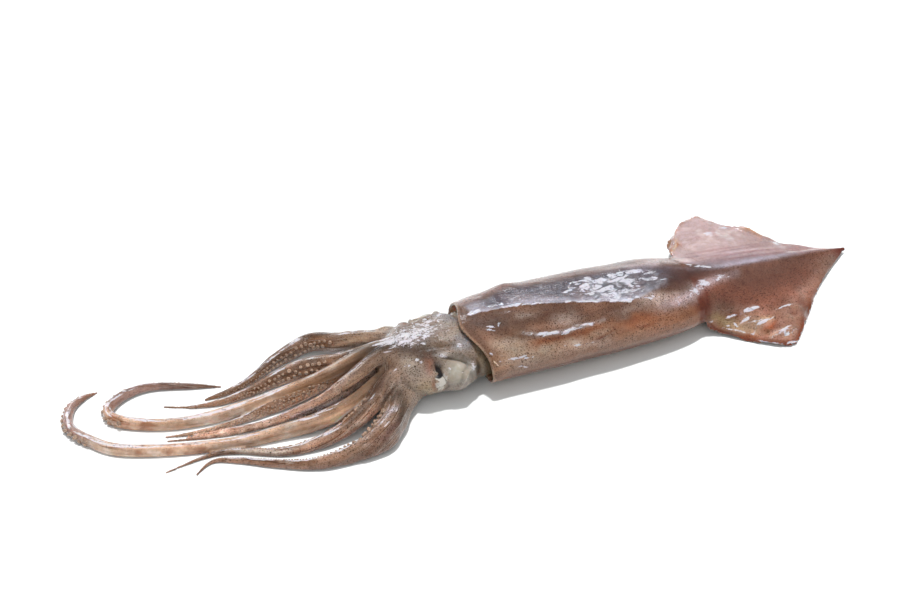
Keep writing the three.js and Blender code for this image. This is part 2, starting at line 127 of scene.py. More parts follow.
# Limbs from the crown to the tip: x, y, lift off the slab, girth. `oral` is the side the suckers face,
# in degrees from straight up towards the limb's left. `cups` is the stretch that bears them, as
# fractions of the route, their radius in girths and the number of rows.
LIMBS = {
    "arm_right_1": dict(
        route=[[-27, 10, 12, 7], [-45.5, 26, 10, 4.8], [-57.5, 36, 5, 4.5], [-68, 44, 2, 4.7],
               [-79, 43.5, 0.6, 4.2], [-91, 40, 0, 3.2], [-104, 34, 0, 2.2], [-116, 31, 0, 1.7],
               [-129, 31, 0, 0.6]],
        oral=78, cups=(0.26, 0.93, 0.23, 2)),
    "arm_right_2": dict(
        route=[[-28, 7, 14, 6.4], [-46, 11, 14.6, 4.8], [-62.5, 17, 9, 4.4], [-75.5, 24.5, 4, 4.9],
               [-90.5, 28, 0.6, 4], [-107, 26, 0, 2.6], [-123, 25.5, 0, 1.7], [-137, 29, 0, 0.8],
               [-149, 35, 0, 0.3]],
        oral=70, cups=(0.3, 0.88, 0.23, 2)),
    "arm_right_3": dict(
        route=[[-29, 8, 11, 5.6], [-46, 12, 11, 3.8], [-62, 11.5, 8, 3.4], [-78, 12.5, 3, 4.2],
               [-94, 11.5, 0, 3.9], [-110.5, 9.5, 0, 2.4], [-126, 9, 0, 1.5], [-141, 10.5, 0, 1],
               [-155, 14, 0, 0.5]],
        oral=52, cups=(0.3, 0.95, 0.19, 3)),
    "arm_right_4": dict(
        route=[[-28, 3, 18, 5.8], [-47.5, 2, 19, 4.2], [-64.5, -1, 13.5, 3.4], [-80.5, -1.5, 7.5, 2.3],
               [-96, 1, 2, 1.9], [-111, 2, 0, 1.7], [-125, 4.5, 0, 1.6], [-146, 9, 0, 0.6]],
        oral=170, cups=(0.4, 0.9, 0.3, 2)),
    "arm_left_4": dict(
        route=[[-30, 4, 9, 5.4], [-50, 2.5, 9.5, 3.8], [-72, 0.5, 4.5, 2.4], [-96, 0.5, 0.8, 1.5],
               [-126, 3, 0, 1], [-155, 11, 0, 0.3]],
        oral=150, cups=(0.35, 0.85, 0.3, 2)),
    "arm_left_3": dict(
        route=[[-30, 0, 3, 6], [-50, -1, 3.6, 4.6], [-66, -4, 2, 3.6], [-84, -4.5, 0, 2.4],
               [-102, -4, 0, 1.6], [-118, -2, 0, 1.1], [-130, 0.5, 0, 0.4]],
        oral=180, cups=None),
    "arm_left_2": dict(
        route=[[-27, -5, 12, 7], [-47, -9.5, 12, 5.4], [-61, -17, 7.5, 4.6], [-76, -21.5, 3, 3.8],
               [-92, -22.5, 0.6, 3.1], [-108.5, -19.5, 0, 2.3], [-126, -10.5, 0, 1.6],
               [-140, -7, 0, 1.2], [-163, -9, 0, 0.4]],
        oral=-48, cups=(0.24, 0.86, 0.22, 2)),
    "arm_left_1": dict(
        route=[[-28, -5, 4.5, 7.2], [-45.5, -16.8, 2.2, 6.7], [-54, -26.5, 1, 7], [-63, -33.5, 0.3, 7.2],
               [-74, -36, 0, 5.2], [-94.5, -35, 0, 3.2], [-111.5, -27, 0, 2.2], [-128, -16.5, 0, 1.6],
               [-140, -11.5, 0, 1], [-150, -16.5, 0, 0.6]],
        oral=-62, cups=(0.2, 0.86, 0.17, 2)),
    "tentacle_right": dict(
        route=[[-28, 5, 20, 5.2], [-51, 8, 18, 3.9], [-75, 12, 8, 3.4], [-96, 14, 3, 3.4],
               [-116, 15, 0, 3.6], [-136, 16, 0, 3.3], [-155, 21, 0, 3.1], [-172, 31, 0, 3.3],
               [-175.5, 41, 0, 2.8], [-166, 48.5, 0, 2.5], [-151, 50, 0, 2.1], [-130, 42, 0, 1.4],
               [-118, 37, 0, 0.4]],
        oral=88, cups=(0.58, 0.95, 0.36, 2)),
    "tentacle_left": dict(
        route=[[-30, 3, 12, 5], [-48, -5.5, 12, 4.1], [-66, -11, 6.5, 4.4], [-85, -11.5, 2.5, 4.3],
               [-105, -9, 0.6, 3.7], [-124, -6.5, 0, 3.1], [-152, 1, 0, 3.1], [-178, 12, 0, 3.2],
               [-190, 25, 0, 3], [-196, 38, 0, 2.8], [-192, 50, 0, 2.3], [-184, 56, 0, 1.6],
               [-175, 58.5, 0, 0.4]],
        oral=88, cups=(0.66, 0.96, 0.38, 2)),
}


# ---------------------------------------------------------------- colours
def tint(red, green, blue):
    """The colour of a surface that shows these screen values (0 to 255) under the studio's light."""
    c = np.array([red, green, blue]) / 255
    return np.where(c <= 0.04045, c / 12.92, ((c + 0.055) / 1.055) ** 2.4) / EXPOSURE


def wash(base, *layers):
    """Lays colours over a base, each by a weight from 0 to 1. A tuple is a colour in screen values."""
    if isinstance(base, tuple):
        base = tint(*base)
    for colour, weight in layers:
        if isinstance(colour, tuple):
            colour = tint(*colour)
        base = base + np.clip(weight, 0, 1)[:, None] * (colour - base)
    return base


# ---------------------------------------------------------------- smooth tables and noise
def spline(rows, places):
    """Rows of a table read at places between them, on a smooth curve through them."""
    rows = np.asarray(rows, float)
    last = len(rows) - 1
    places = np.atleast_1d(np.asarray(places, float))
    index = np.minimum(np.floor(places).astype(int), last - 1)
    t = (places - index)[:, None]
    a, b, c, d = (rows[np.clip(index + step, 0, last)] for step in (-1, 0, 1, 2))
    return b + 0.5 * t * (c - a + t * (2 * a - 5 * b + 4 * c - d + t * (3 * (b - c) + d - a)))


def ease(low, high, value):
    """0 below low, 1 above high, and a smooth step between them."""
    t = np.clip((value - low) / (high - low), 0, 1)
    return t * t * (3 - 2 * t)


def bell(value, centre, spread):
    return np.exp(-((value - centre) / spread) ** 2)


def noise(points, size, seed):
    """Smooth noise from -1 to 1 whose blobs are about `size` mm wide."""
    table = np.random.default_rng(seed).uniform(-1, 1, 4096)
    q = points / size
    cell = np.floor(q).astype(np.int64)
    f = q - cell
    f = f * f * (3 - 2 * f)
    total = np.zeros(len(points))
    for corner in np.ndindex(2, 2, 2):
        c = cell + corner
        key = (c[:, 0] * 73856093) ^ (c[:, 1] * 19349663) ^ (c[:, 2] * 83492791)
        share = np.prod(np.where(np.array(corner) == 1, f, 1 - f), axis=1)
        total += share * table[key % 4096]
    return total


def from_line(x, y, line):
    """Distance of points in a plane from a bent line, and the share of it (0 to 1) at the nearest place."""
    line = np.reshape(line, (-1, 2)).astype(float)
    best, where = np.full(len(x), 1e9), np.zeros(len(x))
    spans = len(line) - 1
    for k in range(spans):
        a, step = line[k], line[k + 1] - line[k]
        t = np.clip(((x - a[0]) * step[0] + (y - a[1]) * step[1]) / (step @ step), 0, 1)
        d = np.hypot(x - a[0] - t * step[0], y - a[1] - t * step[1])
        closer = d < best
        best = np.where(closer, d, best)
        where = np.where(closer, (k + t) / spans, where)
    return best, where


def stroke(x, y, line, width):
    """A soft brush stroke along a bent line, thinning to both ends."""
    gap, where = from_line(x, y, line)
    return bell(gap, 0, width) * np.sin(np.pi * np.clip(where, 0.06, 0.94)) ** 0.5


def paint(colours, brush, share, strokes):
    """Paints strokes; each is a colour, a weight, a width and a line for the brush."""
    for colour, weight, width, line in strokes:
        colours = wash(colours, (colour, weight * share * brush(line, width)))
    return colours


def retouch(colours, brush, share, marks):
    """Lightens or darkens along lines; each mark is a factor, a width and a line for the brush."""
    for factor, width, line in marks:
        gain = 1 + (factor - 1) * (share * brush(line, width))[:, None]
        colours = colours * gain * COOLER ** np.clip(gain - 1, 0, 1)
    return colours


def strongest(brush, share, marks):
    """The strongest of some marks at each point; each is a strength, a width and a line for the brush."""
    return share * np.max([strength * brush(line, width) for strength, width, line in marks], axis=0)


def oval(u, v, at_u, at_v, reach_u, reach_v):
    """Squared distance from a place, which is 1 on an oval round it."""
    return ((u - at_u) / reach_u) ** 2 + ((v - at_v) / reach_v) ** 2


def dab(*place):
    """A soft round mark, 1 in its middle."""
    return np.exp(-oval(*place))


def mottle(points, sizes, seed):
    """Cloudy noise of three sizes, from coarse to fine."""
    return sum(share * noise(points, size, seed + k)
               for k, (share, size) in enumerate(zip((0.5, 0.3, 0.2), sizes)))


def grained(colours, points, *grains):
    """Colours that vary a little from place to place; each grain is a share, a size and a seed."""
    return colours * (1 + sum(share * noise(points, size, seed) for share, size, seed in grains))[:, None]


def picture(points):
    """Where points fall in the photograph's frame of 900 x 602."""
    away = points - (TARGET + BACK * DISTANCE)
    focal = LENS / SENSOR * WIDE / -(away @ BACK)
    return WIDE / 2 + focal * (away @ RIGHT), HIGH / 2 - focal * (away @ UP)


# ---------------------------------------------------------------- mesh helpers
def grid_faces(rows, columns, wrap, start=0):
    """Quads over a grid of points; wrap closes each row into a ring."""
    r, c = np.meshgrid(np.arange(rows - 1), np.arange(columns if wrap else columns - 1), indexing="ij")
    a = r * columns + c
    b = r * columns + (c + 1) % columns
    return (start + np.stack([a, b, b + columns, a + columns], -1).reshape(-1, 4)).tolist()


def loft(rings):
    """A closed body through rings of equal count, with a fan over each end."""
    rows, sides, _ = rings.shape
    hubs = rings[[0, -1]].mean(axis=1)
    points = np.concatenate([rings.reshape(-1, 3), hubs])
    faces = grid_faces(rows, sides, True)
    first, last = rows * sides, rows * sides + 1
    end = (rows - 1) * sides
    for k in range(sides):
        n = (k + 1) % sides
        faces.append([first, n, k])
        faces.append([last, end + k, end + n])
    return points, faces


def sheet_body(top, under):
    """A closed body between two grids of the same size."""
    rows, columns, _ = top.shape
    count = rows * columns
    points = np.concatenate([top.reshape(-1, 3), under.reshape(-1, 3)])
    faces = grid_faces(rows, columns, False) + [f[::-1] for f in grid_faces(rows, columns, False, count)]
    border = [(0, j) for j in range(columns)] + [(i, columns - 1) for i in range(1, rows)]
    border += [(rows - 1, j) for j in range(columns - 2, -1, -1)] + [(i, 0) for i in range(rows - 2, 0, -1)]
    ring = [i * columns + j for i, j in border]
    for k, a in enumerate(ring):
        b = ring[(k + 1) % len(ring)]
        faces.append([b, a, a + count, b + count])
    return points, faces


def object_of(name, points, faces):
    mesh = bpy.data.meshes.new(name)
    mesh.from_pydata(np.asarray(points).tolist(), [], faces)
    mesh.polygons.foreach_set("use_smooth", [True] * len(mesh.polygons))
    mesh.update()
    obj = bpy.data.objects.new(name, mesh)
    bpy.context.scene.collection.objects.link(obj)
    return obj


def fused(name, bodies, voxel):
    """One skin over closed bodies that overlap."""
    points, faces, start = [], [], 0
    for body_points, body_faces in bodies:
        points.append(body_points)
        faces += [[start + k for k in face] for face in body_faces]
        start += len(body_points)
    obj = object_of(name, np.concatenate(points), faces)
    remesh = obj.modifiers.new("skin", "REMESH")
    remesh.mode = "VOXEL"
    remesh.voxel_size = voxel
    remesh.use_smooth_shade = True
    graph = bpy.context.evaluated_depsgraph_get()
    rough, skin = obj.data, bpy.data.meshes.new_from_object(obj.evaluated_get(graph))
    obj.modifiers.clear()
    obj.data = skin
    bpy.data.meshes.remove(rough)
    return obj


def read_points(mesh):
    points = np.empty(len(mesh.vertices) * 3)
    mesh.vertices.foreach_get("co", points)
    return points.reshape(-1, 3)


def write_points(mesh, points):
    mesh.vertices.foreach_set("co", np.ascontiguousarray(points, dtype=np.float32).ravel())
    mesh.update()


def read_edges(mesh):
    edges = np.empty(len(mesh.edges) * 2, dtype=np.int32)
    mesh.edges.foreach_get("vertices", edges)
    return edges.reshape(-1, 2)


def around_each(points, a, b):
    """The sum of each point's neighbours, over the edges from a to b."""
    return np.stack([np.bincount(a, points[b, k], len(points)) + np.bincount(b, points[a, k], len(points))
                     for k in range(3)], axis=1)


def relax(points, edges, rounds):
    """Evens out a skin without shrinking it."""
    a, b = edges.T
    ways = np.bincount(edges.ravel(), minlength=len(points))[:, None]
    for _ in range(rounds):
        for step in (0.5, -0.51):
            points = points + step * (around_each(points, a, b) / ways - points)
    return points


def soften(points, edges, weight, rounds):
    """Evens out a skin where the weight is above 0, filling its creases."""
    a, b = edges[weight[edges].max(axis=1) > 0].T
    ways = np.maximum(np.bincount(np.concatenate([a, b]), minlength=len(points)), 1)[:, None]
    share = weight[:, None]
    for _ in range(rounds):
        points = points + share * np.where(share > 0, around_each(points, a, b) / ways - points, 0)
    return points


def normals_of(mesh):
    mesh.update()
    found = np.empty(len(mesh.vertices) * 3, dtype=np.float32)
    mesh.vertex_normals.foreach_get("vector", found)
    return found.reshape(-1, 3).astype(float)


def store_colour(mesh, name, colours):
    layer = mesh.attributes.new(name, "FLOAT_COLOR", "POINT")
    rgba = np.concatenate([np.clip(colours, 0, 1), np.ones((len(colours), 1))], axis=1)
    layer.data.foreach_set("color", rgba.astype(np.float32).ravel())


def store_values(mesh, **layers):
    """Keeps per-vertex values from 0 to 1 under their names, for the materials."""
    for name, values in layers.items():
        layer = mesh.attributes.new(name, "FLOAT", "POINT")
        layer.data.foreach_set("value", np.clip(values, 0, 1).astype(np.float32))


# ---------------------------------------------------------------- mantle and fins
def mantle_at(x):
    """Half width, half height, middle height and bend of the mantle at distances from the rim."""
    share = np.clip(np.atleast_1d(x) / MANTLE_LENGTH, 0, 1)
    after = np.clip(np.searchsorted(MANTLE[:, 0], share), 1, len(MANTLE) - 1)
    low, high = MANTLE[after - 1, 0], MANTLE[after, 0]
    return spline(MANTLE, after - 1 + (share - low) / (high - low))[:, 1:].T


def rim_x(degrees):
    lobe = bell(degrees, DORSAL_ANGLE, DORSAL_SPREAD)
    notch = bell(degrees, VENTRAL_ANGLE, VENTRAL_SPREAD)
    return -DORSAL_LOBE * lobe + VENTRAL_NOTCH * notch


def mantle_body(sides=220):
    """The tube with its rolled lip and the open space round the neck."""
    angle = np.linspace(0, 2 * np.pi, sides, endpoint=False)
    lobes = rim_x(np.degrees(angle))
    near_flare, far_flare = (
        reach * bell(np.degrees(angle), at, 30) for reach, at in zip(LIP_FLARE, (196, 344)))
    flare = near_flare + far_flare
    inside = [(COLLAR_DEPTH, 7.6), (17, 5), (14, 3.8), (9, 3.0), (5, 2.5), (2.5, WALL), (1, 1.8), (0.2, 1.4)]
    lip = [(-0.2, 0.9), (-0.1, 0.45), (0.5, 0.1)]
    outside = [(x, 0) for x in np.linspace(1.5, MANTLE_LENGTH, 280)]
    rings = []
    for x, depth in inside + lip + outside:
        half_width, half_height, middle, bend = (value[0] for value in mantle_at(x))
        out = -depth + flare * ease(15, 0, x)
        y = bend + (half_width + out) * np.cos(angle)
        z = np.maximum(depth * 0.9, middle + (half_height - depth) * np.sin(angle))
        rings.append(np.stack([x + lobes * max(0, 1 - x / LOBE_REACH), y, z], axis=1))
    return loft(np.array(rings))


def fin_grid(margin, drape, along=190, across=46):
    """Middle surface of a fin: points, share along the root, share from root to margin."""
    u = np.linspace(0, 1, along)
    v = np.linspace(0, 1, across)
    edge = spline(margin, u * (len(margin) - 1))
    root_x = FIN_FRONT + (FIN_BACK - FIN_FRONT) * u ** FIN_CROWDING
    _, half_height, middle, bend = mantle_at(root_x)
    root = np.stack([root_x, bend, middle + half_height - 0.5 * FIN_ROOT_THICKNESS], axis=1)
    fall = v[None, :] ** (drape[0] + (drape[1] - drape[0]) * u[:, None])
    flat = root[:, None, :2] + v[None, :, None] * (edge[:, None, :2] - root[:, None, :2])
    height = root[:, 2, None] + fall * (edge[:, 2, None] - root[:, 2, None])
    return np.concatenate([flat, height[..., None]], axis=2), u, v


def fin_body(margin, drape, ripple):
    """The closed sheet of a fin; ripple(u, v) lifts its middle surface."""
    middle, u, v = fin_grid(margin, drape)
    grid_u, grid_v = np.meshgrid(u, v, indexing="ij")
    half = 0.5 * (FIN_ROOT_THICKNESS + (FIN_EDGE_THICKNESS - FIN_ROOT_THICKNESS) * grid_v ** 0.7)
    half = half * np.sqrt(np.clip(1.02 - grid_v ** 14, 0.1, 1))
    height = np.maximum(middle[..., 2] + ripple(grid_u, grid_v), half)
    top, under = middle.copy(), middle.copy()
    top[..., 2] = height + half
    under[..., 2] = height - half
    return sheet_body(top, under), middle.reshape(-1, 3), grid_u.ravel(), grid_v.ravel()


def left_ripple(u, v):
    """The near fin's margin lies in shallow wrinkles on the slab."""
    return v ** 3 * (0.55 * np.sin(31 * u) + 0.4 * np.sin(57 * u + 9 * v) + 0.35 * np.sin(88 * u - 14 * v))


def right_ripple(u, v):
    """The far fin stands in soft waves, with its edge curled up in two places."""
    curls = 1.2 * bell(u, 0.13, 0.04) + 1.6 * bell(u, 0.675, 0.03)
    return 0.6 * v ** 2 * np.sin(31 * u) + 0.25 * v * np.sin(64 * u + 5) + curls * ease(0.86, 1, v)


def nearest(points, targets, reach):
    """Index of the nearest target for each point, and its distance (large beyond reach)."""
    tree = KDTree(len(targets))
    for k, target in enumerate(targets.tolist()):
        tree.insert(target, k)
    tree.balance()
    index, distance = np.zeros(len(points), int), np.full(len(points), 1e3)
    for k, point in enumerate(points.tolist()):
        _, found, gap = tree.find(point)
        if gap < reach:
            index[k], distance[k] = found, gap
    return index, distance


left_fin, left_middle, left_u, left_v = fin_body(LEFT_FIN, (2.4, 1.2), left_ripple)
right_fin, right_middle, right_u, right_v = fin_body(RIGHT_FIN, (1.3, 1.0), right_ripple)
mantle = fused("mantle_and_fins", [mantle_body(), left_fin, right_fin], SKIN_VOXEL)
skin_edges = read_edges(mantle.data)
skin = relax(read_points(mantle.data), skin_edges, 7)

# place on the mantle: turn round its axis in degrees, and how far out of the section's outline
half_width, half_height, middle_height, bend = mantle_at(skin[:, 0])
across = (skin[:, 1] - bend) / half_width
level = (skin[:, 2] - middle_height) / half_height
turn = np.degrees(np.arctan2(level, across)) % 360
shell = np.hypot(across, level)
behind_rim = skin[:, 0] - rim_x(turn) * np.clip(1 - skin[:, 0] / LOBE_REACH, 0, 1)

# the tube is smoothed onto its true section, and flows into the fins without a seam
on_tube = (shell > 0.93) & (skin[:, 0] < 110) & (behind_rim > 2) & (skin[:, 2] > 0.2)
exact = skin.copy()
exact[:, 1] = bend + (skin[:, 1] - bend) / shell
exact[:, 2] = np.maximum(0, middle_height + (skin[:, 2] - middle_height) / shell)
settle = on_tube * ease(104, 90, skin[:, 0]) * ease(10, 18, behind_rim + 30 * (np.abs(turn - 110) < 60))
skin = skin + settle[:, None] * (exact - skin)
write_points(mantle.data, skin)
upward = ease(-0.1, 0.25, normals_of(mantle.data)[:, 2])
junction = upward * ease(98, 110, skin[:, 0]) * ease(168, 142, skin[:, 0]) * ease(4.5, 8, skin[:, 2])
skin = soften(skin, skin_edges, 0.6 * junction, 110)

rear = skin[:, 0] > 108
index, distance = nearest(skin[rear], np.concatenate([left_middle, right_middle]), 6)
close, fin_u, fin_v = (np.zeros(len(skin)) for _ in range(3))
close[rear] = ease(4.6, 2.4, distance)
fin_u[rear] = np.concatenate([left_u, right_u])[index]
fin_v[rear] = np.concatenate([left_v, right_v])[index]
from_ridge = skin[:, 1] - bend + 0.6 * noise(skin, 5, 9)
near_side = ease(1.5, -1.5, from_ridge - 9 * ease(146, 116, skin[:, 0]))
on_left, on_right = close * near_side, close * (1 - near_side)
write_points(mantle.data, skin)
outward = normals_of(mantle.data)

# places for marks on the mantle: distance from the rim and turn in millimetres, and place in the picture
TURN_MM = 0.45
along, turn_mm = skin[:, 0], turn * TURN_MM
skin_u, skin_v = picture(skin)
front = ease(0.0, 0.25, outward @ BACK)
tube = (on_tube | (along >= 106)) * (1 - close)


def along_skin(line, width):
    """A stroke on the mantle along a line of distances from the rim and turns."""
    return stroke(along, turn_mm, np.reshape(line, (-1, 2)) * [1, TURN_MM], width)


def on_skin(line, width):
    """A stroke on the mantle and the fins along a line in the picture."""
    return stroke(skin_u, skin_v, line, width)


# the flat facet along the back, from its straight far edge to the shoulder line, where a reflection is
# painted into the colour
FACET_EDGE = 67
SHOULDER = [0, 86, 9.5, 90.5, 16, 91, 28.5, 95, 40, 102, 53.5, 108,
            64.5, 113, 79, 121, 86.5, 118, 99, 110, 108, 100]
STREAK = [20, 131, 26, 137.5, 33, 139, 40, 141.5, 47, 138, 55, 139, 62, 136]
RIPPLED_FOLD = [18, 133, 33, 139, 62, 138]
FACET_FRONT = [11, 58, 15, 73, 18, 84, 24, 92]
shoulder = (np.interp(along, SHOULDER[::2], SHOULDER[1::2])
            + 2.2 * noise(skin, 4.5, 15) + 1.2 * noise(skin, 1.8, 16))
half_facet = 0.5 * (shoulder - FACET_EDGE)
off_middle = (turn - FACET_EDGE) / half_facet - 1
blur = 0.03 + 0.32 * ease(80, 104, along)
facet = ease(1 + blur, 1 - blur, off_middle) * ease(56, 76, turn) * ease(112, 98, along) * (along > 0.5)
sag = (28 * np.radians(half_facet)) ** 2 / 92

# relief of the tube: dents, folds along the flank, the cracked facet, small wet wrinkles
FOLDS = [  # rise, its change with the roughness, width in mm, line of distances from the rim and turns
    (0.35, 0, 1.3, SHOULDER), (0.75, 0.6, 1.3, STREAK), (0.10, 0.2, 0.9, [4, 112, 11, 110]),
    (-0.7, 0, 3.4, [12, 56, 15, 70, 17, 82, 19, 92]), (0.6, 0, 2.4, [99, 138, 113, 130, 126, 120, 144, 112]),
    (0.3, 0, 1.6, [8, 203, 30, 214, 60, 205, 90, 203, 112, 195]), (0.4, 0, 0.9, [52, 163, 59, 159, 66, 153]),
]
SWELLINGS = [(0.5, 79, 118, 22, 8), (1.9, 26, 54, 7, 20)]  # rise, distance from the rim, turn, reaches
relief = 0.30 * noise(skin, 17, 11) + 0.10 * noise(skin, 7, 12)
relief -= np.clip(1 - off_middle ** 2, 0, 1) * sag * ease(112, 100, along)
rough = noise(skin, 2.4, 17)
for rise, broken, width, line in FOLDS:
    relief += (rise + broken * rough) * along_skin(line, width)
for rise, x, t, reach_x, reach_t in SWELLINGS:
    relief += rise * dab(along, turn, x, t, reach_x, reach_t)
crackle = bell(along, 77, 30) * bell(turn, 93, 24) * (along < 106) * facet
shards = noise(skin * [0.4, 1, 1] + 0.8 * noise(skin, 5, 21)[:, None], 2.8, 22)
relief += 0.28 * crackle * (1 - 2 * np.abs(shards))
sparkle = bell(along, 24, 24) * bell(turn, 158, 13) + 0.8 * bell(along, 66, 12) * bell(turn, 152, 8)
relief += 0.10 * sparkle * noise(skin, 1.7, 23)

# relief of the fins: wet blisters near the margin of the near one, a curled edge on the far one
ridged = 1 - 2 * np.abs(noise(skin * [0.8, 1, 1] + 1.5 * noise(skin, 9, 30)[:, None], 6.0, 31))
blister = on_left * ease(0.55, 0.8, fin_v) * ease(0.97, 0.9, fin_v) * bell(fin_u, 0.4, 0.3)
lift = relief * tube + blister * (0.7 * ridged + 0.3 * noise(skin, 2.6, 32))
lift += close * 0.10 * noise(skin * [0.4, 1, 1], 4, 33)
curl = on_right * (bell(fin_u, 0.12, 0.06) * bell(fin_v, 0.93, 0.075)
                   + bell(fin_u, 0.70, 0.045) * ease(0.84, 0.94, fin_v))
lift += 0.9 * np.sin(np.pi * np.clip(curl, 0, 1)) * ease(0.0, 0.4, outward[:, 2])
lift[skin[:, 2] < 0.6] *= 0.25

NEAR_WELTS = [  # width and line in the picture
    (3.0, [741, 312, 762, 307]), (2.6, [725, 319, 738, 314]), (3.2, [737, 326, 752, 317]),
    (3.2, [755, 326, 774, 317]), (2.6, [776, 336, 790, 328]), (2.2, [722, 329, 748, 334]),
]
FAR_WELTS = [  # the same on the far fin
    (2.6, [673, 238, 678, 246, 670, 255]), (2.2, [742, 230, 752, 232, 760, 238]),
]
for side, rise, welts in ((on_left, 0.9, NEAR_WELTS), (on_right, 1.0, FAR_WELTS)):
    for width, line in welts:
        lift += rise * side * front * on_skin(line, width)
skin = skin + outward * lift[:, None]
skin[:, 2] = np.maximum(skin[:, 2], GROUND)

# colours of the mantle: base by the turn round the axis, then patches, strokes and the painted reflection on
# the flat facet
TAUPE, LOW, PINK, REAR = (116, 86, 70), (156, 118, 94), (158, 118, 94), (159, 116, 93)
BELLY, EDGE, MAUVE, GREY = (190, 168, 152), (134, 90, 66), (160, 134, 130), (126, 116, 124)
SLATE, LILAC, RUST, ORANGE = (78, 74, 88), (172, 168, 182), (110, 58, 38), (140, 90, 60)
LIP, TAIL_TIP = (172, 142, 120), (104, 48, 38)
# partly painted light: the inner wall's bright orange, lighter than the outside skin, also stands for light
# shining through the thin wall
INNER_WALL = np.array([0.82, 0.52, 0.36])
PATCHES = [  # colour, weight, distance from the rim, turn, reach along, reach round
    ((98, 78, 70), 0.9, 5, 105, 9, 12), ((92, 60, 44), 0.75, 40, 116, 22, 9),
    ((92, 62, 48), 0.75, 66, 124, 14, 7), ((156, 138, 128), 0.8, 44, 124.5, 7, 8),
    ((168, 152, 142), 0.6, 25, 108, 6, 7), ((214, 192, 182), 0.9, 93, 121, 9, 7),
    ((170, 148, 138), 0.5, 76, 130, 8, 6), ((190, 168, 150), 0.85, 13, 141, 8, 9),
    ((186, 164, 142), 0.8, 12, 152, 6, 8), ((226, 208, 208), 0.9, 100, 64, 18, 8),
    ((192, 174, 154), 0.85, 26, 161, 7, 9), ((190, 172, 156), 0.85, 43, 158, 6, 7),
    ((182, 162, 142), 0.8, 58, 151, 6, 6), ((170, 150, 138), 0.6, 16, 172, 7, 8),
    ((168, 142, 128), 0.5, 58, 168, 8, 9), ((84, 46, 36), 0.95, 122, 90, 16, 18),
    ((84, 50, 42), 0.85, 107, 100, 9, 12), (ORANGE, 0.65, 88, 150, 16, 9), (ORANGE, 0.6, 108, 156, 8, 10),
    ((108, 50, 30), 0.95, 119, 153, 7, 15), ((140, 84, 52), 0.8, 30, 147, 12, 5),
    ((136, 76, 46), 0.75, 54, 148, 10, 5), ((134, 76, 48), 0.7, 78, 146, 9, 7),
    ((152, 104, 72), 0.6, 20, 168, 9, 6),
]

STROKES = [  # colour, weight, width in mm, line of distances from the rim and turns
    ((118, 82, 62), 0.85, 2.2, [10, 122, 16, 130, 24, 140, 34, 146]),
    (ORANGE, 0.7, 1.6, [24, 146, 38, 149, 52, 146, 66, 140]),
    (RUST, 0.9, 1.2, [50, 166, 56, 161, 60, 158, 66, 151]),
    (RUST, 0.7, 1.2, [66, 160, 74, 157, 84, 158, 90, 152]), (RUST, 0.7, 1.4, [68, 148, 78, 143, 88, 143]),
    # painted highlight: the pale line along the streak, first on the next line
    ((206, 196, 194), 0.6, 1.3, STREAK), (RUST, 0.6, 1.2, [24, 146, 34, 146, 46, 146.5, 58, 145]),
    # painted highlights: the pinkish band across the rear flank, and the lilac line beside the ridge on the
    # line after it
    ((200, 180, 180), 0.85, 4.6, [95, 138, 107, 133, 114, 130, 119, 121, 135, 111, 150, 106]),
    ((180, 172, 184), 0.6, 1.3, [112, 80, 124, 84, 140, 88, 160, 90]),
    (RUST, 0.8, 1.1, [18, 204, 36, 212, 50, 210, 66, 196, 86, 203, 98, 194, 112, 190]),
    ((104, 66, 48), 0.7, 0.7, [0, 205, 12, 206, 30, 213]),
]

loose_along = along + 3.0 * noise(skin, 8, 44) + 1.2 * noise(skin, 3, 45)
loose_turn = turn + 6 * noise(skin, 8, 46) + 3 * noise(skin, 3, 47)
soft = mottle(skin, (14, 6, 2.6), 41)
flank = np.abs(np.where(loose_turn > 270, loose_turn - 360, loose_turn) - 92)
far_flank = 92 - loose_turn
flank_tone = wash(LOW, (PINK, ease(38, 56, loose_along)), (REAR, ease(74, 90, loose_along)))
colours = wash(
    TAUPE, (flank_tone, ease(44, 60, flank)), (EDGE, 0.8 * bell(loose_turn, 204, 14) * (along > 6)),
    (BELLY, ease(116, 140, flank)),
    (MAUVE, ease(24, 34, far_flank) * ease(100, 70, far_flank) * ease(126, 112, along)))
for colour, weight, x, t, reach_x, reach_t in PATCHES:
    colours = wash(colours, (colour, weight * dab(loose_along, loose_turn, x, t, reach_x, reach_t)))
colours = paint(colours, along_skin, 0.75 + 0.5 * noise(skin, 2.0, 48), STROKES)
# painted reflection: the film on the facet is lilac along the shoulder and at the front, grey and slate
# further up, with a slate line across its front
up_facet = np.clip((shoulder - turn) / np.maximum(shoulder - FACET_EDGE, 1), 0, 1)
film = wash(
    LILAC, (GREY, ease(0.1, 0.42, up_facet + 0.25 * soft)),
    (SLATE, ease(0.5, 0.95, up_facet + 0.35 * soft) * ease(104, 88, along)),
    (SLATE, 0.7 * along_skin(FACET_FRONT, 4.5)), (LILAC, 0.6 * bell(along, 4, 7)))
stain = ease(0.15, 0.55, noise(skin, 8, 51) * 0.6 + noise(skin, 3, 52) * 0.4)
inward = outward[:, 1] * across / half_width + outward[:, 2] * level / half_height < -0.01
inside_rim = (shell < 0.94) & (along < 24) & (behind_rim > 0.6) & inward
colours = wash(
    colours, (film, facet * ease(0.5, 3, along) * (0.95 - 0.2 * soft)),
    (ORANGE, 0.5 * stain * ease(38, 58, flank) * ease(125, 105, flank) * (along < 122)),
    (LIP, 0.9 * ease(1.5, 0.4, behind_rim) * (along < 20)), (INNER_WALL, 1.0 * inside_rim))

